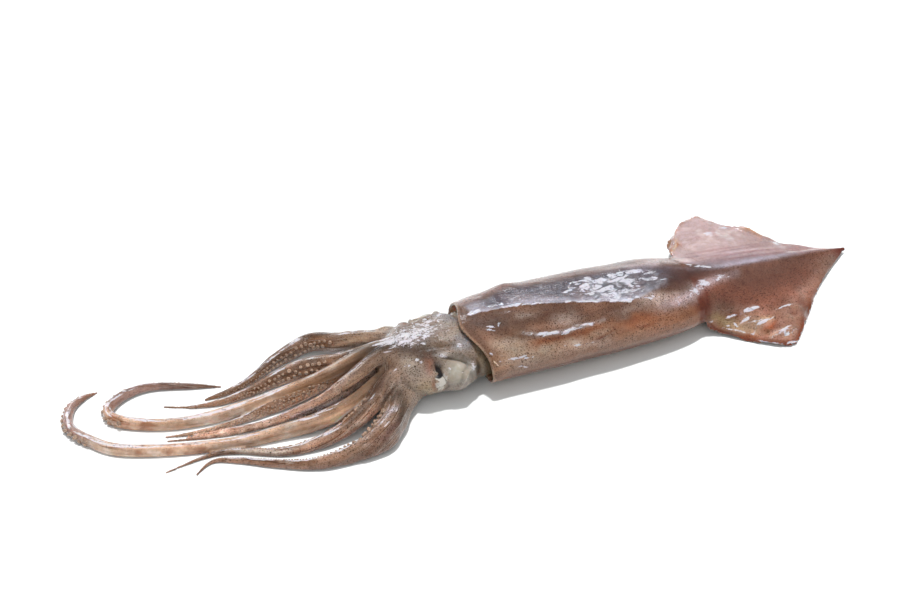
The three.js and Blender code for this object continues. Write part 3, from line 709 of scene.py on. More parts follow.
# colours of the fins, by the share along the root and from the root to the margin
loose_v = fin_v + 0.05 * soft
near = wash(
    (114, 77, 63), ((130, 84, 68), ease(0.1, 0.42, loose_v)), ((162, 118, 103), ease(0.5, 0.72, loose_v)),
    # painted light and shade on the blisters: lighter on their raised tops, darker in the hollows between
    # them
    ((184, 148, 126), 0.8 * blister * ease(-0.2, 0.7, ridged)),
    ((122, 68, 42), 0.9 * blister * ease(0.1, -0.7, ridged)),
    ((150, 132, 100), 0.7 * bell(fin_u, 0.3, 0.1) * bell(fin_v, 0.86, 0.1)),
    ((124, 64, 40), 0.85 * ease(0.92, 0.98, fin_v + 0.02 * noise(skin, 3, 53))),
    ((104, 44, 24), 0.95 * bell(fin_u, 0.07, 0.13) * ease(0.2, 0.5, fin_v + 0.2 * soft)),
    ((140, 70, 40), 0.8 * bell(fin_u, 0.7, 0.12) * ease(0.75, 0.97, fin_v + 0.1 * soft)),
    ((150, 122, 108), 0.6 * ease(0.75, 0.95, fin_u) * ease(0.1, 0.5, fin_v)))
off_axis = skin[:, 1] - bend
rays = noise(np.stack([along / 40, off_axis / 1.6 + 0.8 * noise(skin, 9, 55), fin_v], axis=1), 1, 54)
far = wash(
    (150, 130, 138), ((200, 172, 172), ease(0.04, 0.34, fin_v + 0.06 * soft)),
    ((162, 130, 134), 0.75 * ease(0.0, 0.6, rays) * ease(0.9, 0.15, fin_v)),
    ((222, 204, 202), 0.6 * ease(0.1, 0.5, soft) * ease(0.3, 0.6, fin_v)),
    ((192, 150, 138), 0.6 * ease(0.9, 0.99, fin_v)), ((176, 138, 134), 0.6 * ease(0.6, 0.95, fin_u)),
    ((158, 108, 66), 0.9 * ease(0.35, 0.8, curl)))
colours = wash(
    colours, (near, on_left * ease(104, 122, along + 4 * soft)),
    (far, on_right * ease(112, 124, along + 2 * soft)),
    # painted highlight: the lilac line along the ridge over the fins
    ((176, 168, 182), 0.8 * close * bell(off_axis, 1.2, 2.0) * ease(108, 125, along) * ease(196, 170, along)),
    (TAIL_TIP, ease(207, 217, along)),
    ((84, 42, 30), 0.9 * bell(loose_along, 122, 14) * bell(loose_turn, 92, 17) * (1 - on_right)),
    (SLATE, 0.7 * bell(loose_along, 104, 9) * bell(loose_turn, 84, 14)))

# strokes and tones in the picture
# painted highlight: a pale band across the front shoulder of the near fin
HIGHLIGHT_BAND_STROKES = [  # colour, weight, width, line
    ((196, 176, 180), 0.75, 4.5, [668, 305, 682, 300, 694, 293, 702, 285, 718, 278, 736, 273]),
]

FLANK_STROKES = [  # colour, weight, width, line
    ((200, 180, 160), 0.65, 6, [496, 344, 512, 350, 532, 351]),
    ((196, 176, 158), 0.55, 5, [502, 364, 520, 361, 546, 356]),
    ((196, 176, 162), 0.45, 5, [560, 351, 580, 347, 606, 342]),
    ((100, 86, 80), 0.5, 5, [474, 319, 486, 326, 502, 325, 522, 321]),
    ((184, 162, 152), 0.5, 5, [556, 317, 566, 320, 577, 321]),
    ((112, 66, 46), 0.9, 1.8, [496, 379, 530, 373, 570, 363, 630, 347, 692, 328]),
]

FAR_FIN_STROKES = [  # colour, weight, width, line
    ((176, 112, 62), 0.9, 2.2, [674, 237, 679, 245, 671, 251, 667, 257]),
    ((226, 190, 160), 0.8, 0.9, [676, 240, 676, 248, 672, 254]),
    ((206, 152, 108), 0.85, 2.0, [742, 229, 751, 231, 760, 237]),
    ((168, 128, 132), 0.6, 1.1, [676, 256, 720, 249, 770, 242]),
    ((168, 128, 132), 0.7, 1.2, [700, 258, 750, 251, 812, 247]),
    ((150, 112, 116), 0.7, 1.0, [705, 262, 750, 256, 800, 250]),
    ((214, 190, 194), 0.7, 1.1, [700, 256, 745, 250, 790, 246]),
]

NEAR_FIN_STROKES = [  # colour, weight, width, line
    ((104, 46, 28), 0.9, 1.2, [701, 308, 705, 318, 716, 329, 740, 338, 760, 343, 788, 346]),
    ((140, 74, 40), 0.8, 2.4, [800, 342, 806, 325, 812, 300]),
    ((150, 128, 92), 0.7, 4.0, [709, 319, 716, 316, 726, 322]),
    ((178, 152, 116), 0.7, 3.2, [756, 324, 764, 320, 772, 318]),
    ((150, 78, 44), 0.8, 2.2, [735, 336, 748, 336, 760, 338]),
    ((150, 78, 44), 0.7, 2.0, [762, 330, 772, 326, 778, 318]),
]

# painted reflection: slate streaks across the reflection on the facet
FACET_STROKES = [  # colour, weight, width, line
    (SLATE, 0.85, 3, [498, 288, 493, 299, 486, 303]),
    (SLATE, 0.7, 3.5, [506, 292, 530, 290, 560, 291, 578, 284]),
]

# lightening and darkening along lines, partly the skin's own tone and partly painted light: the band by the
# near fin's front and the near fin's wet margin are lightened for their glare
SKIN_TONES = [  # factor, width, line
    (1.5, 10, [478, 322, 484, 338, 494, 344]), (1.3, 4, [500, 305, 512, 304, 526, 303]),
    (1.35, 7, [500, 362, 506, 362, 512, 361]), (1.25, 4, [512, 343, 530, 342, 547, 339]),
    (1.55, 4, [528, 328, 545, 326, 565, 324]), (1.5, 8, [580, 310, 590, 309, 606, 306]),
    (0.8, 4, [500, 285, 560, 273, 620, 263, 690, 258]), (0.75, 4, [610, 265, 622, 263, 640, 261]),
    (1.4, 4, [618, 301, 630, 300, 640, 299]), (1.45, 6, [662, 304, 672, 301, 682, 298]),
    (1.25, 6, [640, 309, 655, 308, 668, 304]), (1.2, 8, [618, 322, 640, 328, 668, 318]),
    (1.45, 5, [618, 269, 650, 264, 686, 264]), (1.15, 7, [698, 286, 712, 279, 736, 274]),
    (1.3, 5, [702, 292, 710, 289, 722, 284]), (1.15, 5, [716, 268, 745, 265, 775, 262]),
    (1.4, 7, [742, 309, 765, 303, 792, 291]), (1.35, 7, [766, 316, 768, 324, 768, 330]),
    (1.45, 5, [716, 318, 738, 328, 762, 336, 798, 337]), (1.3, 6, [785, 290, 800, 296, 812, 286]),
    (1.4, 4, [812, 254, 826, 252, 840, 250]), (1.25, 5, [736, 322, 742, 323, 748, 322]),
    (1.25, 5, [560, 346, 575, 345, 594, 344]), (0.55, 7, [638, 294, 655, 285, 670, 278]),
    (0.65, 6, [552, 297, 560, 295, 570, 293]), (0.5, 8, [712, 305, 724, 307, 738, 308]),
    (0.7, 4, [804, 318, 808, 310, 812, 302]), (0.8, 8, [500, 350, 520, 345, 524, 330]),
    (0.85, 8, [735, 284, 750, 283, 775, 280]), (1.3, 6, [486, 334, 498, 341, 506, 352]),
    (1.25, 3.5, [530, 329, 550, 327, 572, 326]), (1.25, 3.5, [570, 334, 585, 329, 600, 324]),
    (1.2, 4, [534, 341, 550, 336]), (1.15, 5, [546, 357, 566, 350, 596, 344]),
    (1.25, 3.5, [514, 308, 525, 309, 536, 307]), (1.2, 7, [584, 313, 598, 309, 608, 311]),
    (1.15, 7, [622, 322, 646, 318, 658, 307]), (1.1, 7, [616, 336, 650, 327, 692, 317]),
    (0.75, 3, [474, 331, 483, 345, 490, 357, 493, 370]), (0.85, 4, [500, 375, 560, 365, 620, 349, 690, 328]),
    (0.7, 4, [684, 291, 690, 288, 696, 286]), (0.85, 3, [500, 285, 540, 280, 580, 271, 625, 264, 682, 260]),
    (0.75, 5, [708, 269, 726, 273, 746, 272]), (0.78, 7, [720, 308, 736, 309, 752, 305]),
    (0.78, 4, [798, 288, 802, 303, 806, 318]), (0.85, 9, [738, 286, 768, 282, 792, 270, 832, 266]),
    (1.2, 4, [720, 320, 729, 324, 737, 328]), (1.35, 6, [762, 316, 768, 322, 772, 330]),
    (0.85, 3, [676, 234, 670, 246, 669, 256]), (0.8, 5, [656, 296, 664, 305, 680, 305]),
    (0.85, 10, [735, 238, 765, 242, 810, 250]), (0.8, 4, [818, 276, 830, 264, 838, 255]),
    (0.75, 5, [680, 276, 694, 272, 706, 270]),
]

on_flank = front * (1 - close) * (behind_rim > 1) * (shell > 0.95) * (0.8 + 0.4 * noise(skin, 3, 49))
for share, strokes in ((front, HIGHLIGHT_BAND_STROKES), (on_flank, FLANK_STROKES), (on_right * front, FAR_FIN_STROKES),
                       (on_left * front, NEAR_FIN_STROKES), (facet, FACET_STROKES)):
    colours = paint(colours, on_skin, share, strokes)
colours = retouch(colours, on_skin, front, SKIN_TONES)
colours = grained(colours, skin, (0.10, 3.2, 61), (0.07, 1.5, 62))
dots = 1.0 - 0.55 * facet - 0.7 * on_right - 0.5 * ease(110, 140, flank) - inside_rim
dots -= 0.35 * on_left * ease(0.6, 0.9, fin_v) + 0.4 * ease(0.1, 0.5, soft)

# painted highlights: where water on the skin glares, the colour is turned near white in broken patches by the
# material
GLARE = [  # strength, width in mm, line of distances from the rim and turns
    (0.84, 1.5, STREAK), (1.0, 0.6, [4, 109.5, 7, 113.5, 9.5, 118]), (1.0, 0.5, [3, 113, 6, 117, 8.5, 121]),
    (1.0, 0.8, [9, 118, 11.5, 110]), (0.95, 1.5, [-1, 85, 4, 85.5, 8, 83.5]),
    (0.9, 1.3, [8, 84, 14, 82.5, 21, 85]), (0.65, 1.1, [22, 93, 40, 101, 53, 107, 66, 112, 79, 120, 87, 118]),
    (0.6, 4.0, [97, 137, 107, 133, 114, 130, 119, 121, 135, 111, 148, 107]),
    (0.8, 1.1, [5, 161, 14, 161.5, 23, 166]), (0.72, 1.0, [38, 160, 48, 165, 56, 163]),
    (0.8, 0.7, [1, 145, 3, 156]), (0.8, 2.2, [122, 70, 128, 77, 136, 84, 152, 91]),
    (0.6, 1.1, [10, 172, 20, 184]), (0.6, 1.6, [86, 120, 97, 121]),
]

SKIN_GLARE = [  # strength, width and line in the picture
    (0.66, 4, [688, 297, 700, 287, 718, 278, 738, 273]), (0.85, 1.8, [498, 306, 512, 305, 528, 304]),
]

FACET_GLARE = [  # the same on the facet
    (0.85, 3, [612, 273, 632, 270, 660, 271]), (0.8, 2.4, [640, 276, 655, 277, 672, 280]),
    (0.9, 2.6, [596, 301, 620, 300, 644, 297]), (0.8, 2.2, [560, 293, 570, 288, 584, 282]),
]

FIN_GLARE = [  # width and line of the wet swellings along the margin of the near fin
    (2.07, [741, 313, 751, 309, 762, 307]), (1.495, [726, 318, 731, 316, 736, 314]),
    (1.15, [724, 325, 731, 326]), (1.955, [737, 326, 744, 321, 751, 317]),
    (1.84, [755, 325, 764, 321, 773, 317]), (1.495, [776, 335, 783, 331, 788, 327]),
    (1.035, [772, 312, 784, 306, 795, 303]), (1.15, [722, 328, 734, 330, 748, 333]),
    (1.15, [757, 340, 770, 343, 784, 344]), (1.495, [784, 343, 794, 342, 802, 340]),
    (1.15, [733, 322, 738, 327]), (1.38, [782, 329, 786, 335, 792, 333]),
]

FAR_FIN_GLARE = [(707, 234), (722, 227), (776, 243)]
far_spots = np.max([dab(skin_u, skin_v, u, v, 5, 2.5) for u, v in FAR_FIN_GLARE], axis=0)
glare = np.max([
    strongest(along_skin, 1 - 0.5 * on_right, GLARE), strongest(on_skin, front, SKIN_GLARE),
    strongest(on_skin, facet * front, FACET_GLARE),
    strongest(on_skin, on_left * front, [(1.1, *mark) for mark in FIN_GLARE]),
    1.15 * bell(along, 75, 20) * bell(turn, 89, 21) * facet * ease(100, 88, along),
    0.45 * blister * ease(0.1, 0.7, ridged), 0.8 * on_right * far_spots,
    0.3 * on_right * ease(0.1, 0.5, soft) * ease(0.3, 0.6, fin_v)], axis=0)
rippled = along_skin(RIPPLED_FOLD, 3)
write_points(mantle.data, skin)
store_colour(mantle.data, "tint", colours)
store_values(mantle.data, dots=dots, crackle=crackle, glare=glare,
             sparkle=0.12 + sparkle + 0.5 * blister + 0.5 * rippled + 0.3 * facet)


# ---------------------------------------------------------------- head, arms and tentacles
def limb_frames(route, places):
    """Axis points, girths, and the up and left directions across a limb."""
    route = np.asarray(route, float)
    last = len(route) - 1
    here = spline(route, places)
    before = spline(route, np.maximum(0, places - 0.02))
    after = spline(route, np.minimum(last, places + 0.02))

    def axis(rows):
        return np.stack([rows[:, 0], rows[:, 1], rows[:, 2] + SEAT * rows[:, 3]], axis=1)

    along = axis(after) - axis(before)
    along /= np.linalg.norm(along, axis=1)[:, None]
    up = np.array([0.0, 0.0, 1.0]) - along * along[:, 2:]
    up /= np.linalg.norm(up, axis=1)[:, None]
    return axis(here), here[:, 3], up, np.cross(up, along)


def section(from_oral):
    """A keel on the back, a flat mouth side between two thin edges."""
    from_edge = np.abs(from_oral) - MOUTH_EDGE
    flat = 0.24 * np.maximum(0, np.cos(from_oral)) ** 3
    edge = 0.2 * np.cos(np.clip(6 * from_edge, -0.5 * np.pi, 0.5 * np.pi))
    keel = 0.2 * np.maximum(0, -np.cos(from_oral)) ** 12
    return 1 - flat + edge + keel


def limb_body(limb, sides=36, steps=14):
    route = limb["route"]
    places = np.linspace(0, len(route) - 1, (len(route) - 1) * steps + 1)
    centre, girth, up, left = limb_frames(route, places)
    girth = np.maximum(girth, 0.62)
    from_oral = np.linspace(-np.pi, np.pi, sides, endpoint=False)
    angle = math.radians(limb["oral"]) + from_oral
    radius = girth[:, None] * section(from_oral)[None, :]
    rings = centre[:, None, :] + up[:, None, :] * (np.cos(angle) * radius * SEAT)[..., None]
    rings = rings + left[:, None, :] * (np.sin(angle) * radius)[..., None]
    rings[..., 2] = np.maximum(rings[..., 2], 0)
    return loft(rings)


def ball_body(radii, centre, rows=40, columns=60):
    lat = np.linspace(0.02, np.pi - 0.02, rows)[:, None]
    lon = np.linspace(0, 2 * np.pi, columns, endpoint=False)
    rings = np.stack([np.sin(lat) * np.cos(lon), np.cos(lat) + 0 * lon, np.sin(lat) * np.sin(lon)], axis=-1)
    rings = rings * radii + centre
    rings[..., 2] = np.maximum(rings[..., 2], 0)
    return loft(rings)


def cord_body(centre, radius, sides=16):
    """A round strand along a row of points, for the thin edges of skin."""
    along = np.gradient(centre, axis=0)
    along /= np.linalg.norm(along, axis=1)[:, None]
    side = np.cross(along, [0, 0, 1.0])
    side /= np.linalg.norm(side, axis=1)[:, None]
    up = np.cross(side, along)
    angle = np.linspace(0, 2 * np.pi, sides, endpoint=False)
    rings = centre[:, None] + radius[:, None, None] * (
        np.cos(angle)[:, None] * side[:, None] + np.sin(angle)[:, None] * up[:, None])
    return loft(rings)


def edge_body(name, low, high, angle, size):
    """The thin standing edge along a limb, at an angle from straight up."""
    route = LIMBS[name]["route"]
    centre, girth, up, left = limb_frames(route, np.linspace(low, high, 24))
    turned = math.radians(angle)
    way = up * math.cos(turned) * SEAT + left * math.sin(turned)
    thick = size * np.sin(np.linspace(0.25, np.pi - 0.25, 24))
    return cord_body(centre + way * girth[:, None] * 0.98, thick)


def head_body(sides=80):
    rows = spline(HEAD, np.linspace(0, len(HEAD) - 1, 120))
    angle = np.linspace(0, 2 * np.pi, sides, endpoint=False)
    rings = np.stack([np.repeat(rows[:, :1], sides, axis=1), rows[:, 1:2] * np.cos(angle),
                      np.maximum(0, rows[:, 3:4] + rows[:, 2:3] * np.sin(angle))], axis=-1)
    return loft(rings)


EDGES = [  # limb, first and last place on its route, angle from straight up, thickness
    ("tentacle_right", 0.5, 3.2, 6, 0.75), ("arm_right_4", 0.5, 4.2, 4, 0.7), ("arm_left_2", 1.2, 5, -8, 0.6),
    ("arm_left_1", 0.8, 5, 25, 0.7), ("arm_right_2", 1.2, 5.5, 10, 0.7), ("arm_right_1", 1.0, 6, 0, 0.7),
    ("tentacle_left", 1.0, 6, 8, 0.7),
]
funnel = ball_body([11, 7.5, 4.6], [-13, 0, 5])
nape_lump = ball_body([4.2, 4, 4.2], [-11.5, 16, 21.3])
bodies = [head_body(), funnel, nape_lump] + [limb_body(limb) for limb in LIMBS.values()]
bodies += [ball_body([9.2, 10.8, 9.2], EYE_DOME * [1, side, 1]) for side in (-1, 1)]
bodies += [edge_body(*edge) for edge in EDGES]
flesh = fused("head_and_arms", bodies, ARM_VOXEL)
meat_edges = read_edges(flesh.data)
meat = relax(read_points(flesh.data), meat_edges, 4)

# which limb each point belongs to, its share along it, and its angle from the mouth side
SAMPLES = 240
samples, girths = [], []
for limb in LIMBS.values():
    centre, girth, _, _ = limb_frames(limb["route"], np.linspace(0, len(limb["route"]) - 1, SAMPLES))
    samples.append(centre)
    girths.append(np.maximum(girth, 0.8))
samples, girths = np.concatenate(samples), np.concatenate(girths)
best = np.concatenate([
    (np.linalg.norm(chunk[:, None, :] - samples[None], axis=2) / girths).argmin(axis=1)
    for chunk in np.array_split(meat, len(meat) // 4000 + 1)])
owner, share = best // SAMPLES, (best % SAMPLES) / (SAMPLES - 1)
FLOW_STEP = 40  # keeps the strands of one limb apart from the next one's
from_oral, flow = np.zeros(len(meat)), np.zeros((len(meat), 3))
for k, limb in enumerate(LIMBS.values()):
    mine = owner == k
    route = np.asarray(limb["route"], float)
    centre, girth, up_way, left_way = limb_frames(route, share[mine] * (len(route) - 1))
    away = meat[mine] - centre
    angle = np.arctan2((away * left_way).sum(1), (away * up_way).sum(1) / SEAT) - math.radians(limb["oral"])
    from_oral[mine] = (angle + np.pi) % (2 * np.pi) - np.pi
    length = np.linalg.norm(np.diff(route[:, :2], axis=0), axis=1).sum()
    round_limb = from_oral[mine] * np.maximum(girth, 1)
    flow[mine] = np.stack([share[mine] * length, round_limb, 0 * girth + FLOW_STEP * k], 1)
on_head = ease(-46, -36, meat[:, 0])
on_limbs = 1 - on_head
is_tentacle = np.array([name.startswith("tentacle") for name in LIMBS])[owner].astype(float)

# places for marks: in the picture, and the same with both sides of the head brought to the near side
write_points(flesh.data, meat)
outward = normals_of(flesh.data)
mirrored = meat * [1, 0, 1] - np.abs(meat) * [0, 1, 0]
near_u, near_v = picture(mirrored)
flesh_u, flesh_v = picture(meat)
flank_way = outward * [1, 0, 1] - np.abs(outward) * [0, 1, 0]
sideways = on_head * ease(0.05, 0.35, flank_way @ BACK) * ease(3, 7, np.abs(meat[:, 1]))
seen = ease(0.0, 0.3, outward @ BACK)


def spot(*place):
    """A soft round mark on both sides of the head, by its place on the near side and its reach."""
    return sideways * dab(near_u, near_v, *place)


def blot(*place):
    """Like spot, but also on the parts of the head that face up."""
    return on_head * ease(0.5, 3, np.abs(meat[:, 1])) * dab(near_u, near_v, *place)


def on_cheek(line, width):
    """A stroke on both sides of the head along a line on the near side."""
    return sideways * stroke(near_u, near_v, line, width)


def on_flesh(line, width):
    """A stroke on the head and the limbs along a line in the picture."""
    return stroke(flesh_u, flesh_v, line, width)


# places in the picture: ovals by their middle and reach, and lines
EYE_BULGE, EYE_OPENING = (455, 371.5, 13, 12), (439.4, 383, 6.6, 8.4)
EYE_CUP, EYE_SHADE = (440, 381.5, 5.8, 8.4), (436, 376, 5.2, 5.6)
EYE_SLIT, SLIT_LEAN, SLIT_MIDDLE, SLIT_FOOT = (438.4, 369.5, 2.6, 8.5), 0.42, 370, (378, 375)
EYE_FRONT = [434, 379, 433.5, 384, 435, 389]
CROWN = [374, 347, 388, 342, 405, 338, 422, 334, 444, 325]
CROWN_PATCH = [382, 343, 400, 338, 420, 335, 441, 327]
CROWN_EDGE = [404, 328, 424, 324, 450, 318]
DARK_BAND = [398, 350, 412, 353, 428, 352, 442, 349]
SPECKLED = 350, 14  # a row and its reach
WEB = [370, 396, 379, 384, 388, 368]
CHEEK_FOLDS = [  # rise, width, line
    (1.7, 3.0, [431, 352, 445, 352, 461, 354, 474, 361]),
    (-1.2, 1.3, [441, 358, 450, 358.5, 460, 361, 469, 365]),
    (0.7, 1.3, [475, 363, 469, 371, 466, 379, 461, 387]),
    (-0.5, 1.5, [470, 361, 464, 370, 461, 380, 457, 387]),
    (-0.8, 1.8, [456, 317, 468, 331, 475, 345, 479, 361]), (1.2, 3.2, [430, 355, 429, 368, 431, 378]),
]
CHEEK_SWELLINGS = [  # rise, place, reach
    (1.3, 463, 347, 9, 6), (1.2, 450, 342, 8, 6), (1.5, 472, 366, 4.5, 4), (1.6, 429, 386, 11, 8),
    (0.9, 422, 362, 8, 9),
]
dome = sideways * ease(11.3, 9.9, np.linalg.norm(mirrored - EYE_DOME * [1, -1, 1], axis=1))
bulge = sideways * ease(1.2, 0.7, oval(near_u, near_v, *EYE_BULGE))
patch = on_head * seen * on_flesh(CROWN_PATCH, 9)
streaks = noise(flow * [0.06, 1, 1], 1.7, 74)
ripples = noise(flow * [0.5, 0.5, 1], 1.6, 75)
relief = on_head * (1 - dome) * (0.30 * noise(meat, 6, 71) + 0.18 * noise(meat, 2.6, 72)) + 1.3 * bulge
relief += 0.5 * patch * (1 - 2 * np.abs(noise(meat, 2.4, 73)))
relief += sum(rise * on_cheek(line, width) for rise, width, line in CHEEK_FOLDS)
relief += sum(rise * spot(*place) for rise, *place in CHEEK_SWELLINGS)
relief += on_limbs * np.clip(1.35 - share, 0.15, 1) * (
    0.30 * streaks + 0.14 * ripples + 0.22 * noise(meat * [0.5, 1, 1], 5, 76))
relief *= 1 - 0.7 * is_tentacle * on_limbs
meat = meat + outward * relief[:, None]

# eyelids: flesh closes over the eyeball except in a slit above and a wider opening below
away = mirrored - EYE * [1, -1, 1]
gap = np.linalg.norm(away, axis=1)
slit = oval(near_u - SLIT_LEAN * (near_v - SLIT_MIDDLE), near_v, *EYE_SLIT)
opening = ease(1.25, 0.8, np.minimum(slit, oval(near_u, near_v, *EYE_OPENING))) * (flank_way @ BACK > -0.1)
closed = np.maximum(EYE_RADIUS + 0.9 - gap, 0)
move = closed + opening * (EYE_RADIUS - 0.5 - gap - closed)
move *= (gap < 9) & (on_head > 0.5) & (away @ BACK > 0)
radial = away / np.maximum(gap, 0.1)[:, None]
radial[:, 1] *= np.where(meat[:, 1] > 0, -1, 1)
meat = meat + radial * move[:, None]
meat[:, 2] = np.maximum(meat[:, 2], GROUND)

# colours of the head and the limbs
ARM, DARK, PALE = (157, 122, 98), (106, 74, 54), (196, 170, 150)
# the first two colours on the next line are painted highlights along the tops and edges of the limbs; the
# last one is for dark lines, most of them painted shade in the gaps between the limbs
HIGHLIGHT_LINE, PAINTED_HIGHLIGHT, BROWN, DARK_LINE = (206, 190, 178), (204, 194, 196), (108, 74, 48), (70, 48, 36)
HEAD_SHADES = [  # colour, weight, place in the picture, reach
    ((88, 66, 56), 0.95, 409, 351, 16, 8), ((98, 74, 60), 0.8, 426, 357, 9, 7),
    ((112, 88, 68), 0.8, 442, 347, 16, 6), ((168, 158, 146), 0.8, 452, 328, 12, 9),
    ((140, 136, 138), 0.7, 466, 338, 8, 10),
]
# painted highlights: the near-white mark under the brow and the light grey one on the bulge behind it; the
# near-white mark on the flap behind the eye is pale skin with a painted highlight
HEAD_MARKS = [  # the same, on the sides alone
    ((150, 146, 150), 0.8, 463, 340, 10, 9), ((176, 174, 178), 0.6, 460, 348, 8, 4),
    ((190, 183, 170), 0.95, 456, 372, 14, 13), ((178, 154, 120), 0.85, 428, 387, 12, 8),
    ((140, 98, 82), 0.95, 429, 365, 6, 10), ((216, 208, 204), 0.9, 442, 355, 8, 2.2),
    ((214, 208, 200), 0.9, 470.5, 368, 3.2, 6), ((84, 64, 48), 0.8, 478, 366, 3, 12),
    ((134, 122, 112), 0.5, 418, 372, 9, 8), ((178, 168, 154), 0.6, 408, 364, 7, 9),
]
# the near-black line along the crease over the eye's bulge is painted shade under the brow; the pale line
# along the flap's ridge is a painted highlight
CHEEK_STROKES = [  # colour, weight, width, line
    ((46, 34, 26), 0.95, 1.1, [441, 358, 450, 358.5, 460, 361, 470, 365]),
    ((216, 210, 198), 0.7, 1.2, [474, 364, 469, 371, 466, 379, 461, 386]),
    ((140, 130, 112), 0.5, 1.4, [470, 362, 464, 370, 461, 380, 457, 386]),
    ((70, 54, 42), 0.7, 1.0, [444, 378, 449, 386, 444, 391]),
]
ARM_STROKES = [  # colour, weight, width, line
    ((150, 104, 66), 0.8, 4, [306, 345, 315, 338, 326, 336]), ((150, 108, 72), 0.7, 4, [318, 349, 330, 342]),
    ((156, 130, 104), 0.8, 6, [340, 341, 355, 339, 372, 336]),
    (BROWN, 0.6, 1.4, [282, 352, 297, 338, 313, 332, 332, 333]),
    (PAINTED_HIGHLIGHT, 0.7, 1.1, [297, 336, 315, 330, 345, 331]),
    (PAINTED_HIGHLIGHT, 0.85, 1.6, [300, 358, 318, 353, 336, 350, 352, 351]),
    (HIGHLIGHT_LINE, 0.9, 0.9, [300, 381, 320, 371, 338, 362, 352, 354, 368, 345]),
    # painted shade: this dark line and the like ones above the next limbs' edges lie in the gaps between the
    # limbs
    (DARK_LINE, 0.7, 0.8, [318, 369, 338, 359.5, 352, 351.5, 368, 342.5]),
    ((200, 176, 156), 0.8, 3.2, [326, 371, 338, 363]),
    ((140, 98, 64), 0.6, 3.5, [285, 396, 305, 386, 325, 376]),
    (HIGHLIGHT_LINE, 0.9, 0.9, [334, 387, 350, 374, 370, 357, 382, 348, 395, 338]),
    (DARK_LINE, 0.8, 0.8, [335, 384, 352, 370.5, 370, 354, 394, 335]),
    ((170, 140, 112), 0.6, 3.5, [330, 397, 352, 381, 376, 363]),
    # painted shade: the wide dark stroke first on the next line fills the gap between the tentacle and the
    # arms by the crown
    ((92, 62, 44), 1.0, 6, [370, 396, 379, 384, 388, 368]), (DARK_LINE, 0.7, 1.6, [383, 399, 386, 390, 390, 378]),
    (DARK_LINE, 0.7, 0.9, [333, 426, 352, 411.5, 370, 398, 375, 387]),
    (HIGHLIGHT_LINE, 0.85, 0.9, [334, 424, 352, 409, 368, 397]), (PAINTED_HIGHLIGHT, 0.6, 1.6, [292, 417, 318, 407, 343, 399]),
    ((232, 216, 198), 1.0, 3.0, [226, 448, 250, 450.5, 272, 452, 290, 450]),
    (DARK_LINE, 0.7, 1.3, [216, 456, 222, 452, 226, 449]),
    ((240, 214, 190), 1.0, 4.0, [190, 422, 202, 418, 213, 413]),
    (PAINTED_HIGHLIGHT, 0.85, 2.4, [383, 418, 391, 411, 399, 405]),
    ((110, 82, 76), 0.8, 4.5, [402, 414, 397, 424, 386, 436, 370, 446]),
    (PAINTED_HIGHLIGHT, 0.7, 1.2, [330, 448, 350, 437, 364, 429]), (DARK_LINE, 0.6, 0.9, [345, 455, 366, 443, 382, 430]),
    ((150, 130, 114), 0.8, 8, [390, 380, 400, 390, 404, 400]),
    ((120, 84, 60), 0.6, 3, [300, 465, 330, 462, 356, 452]),
]
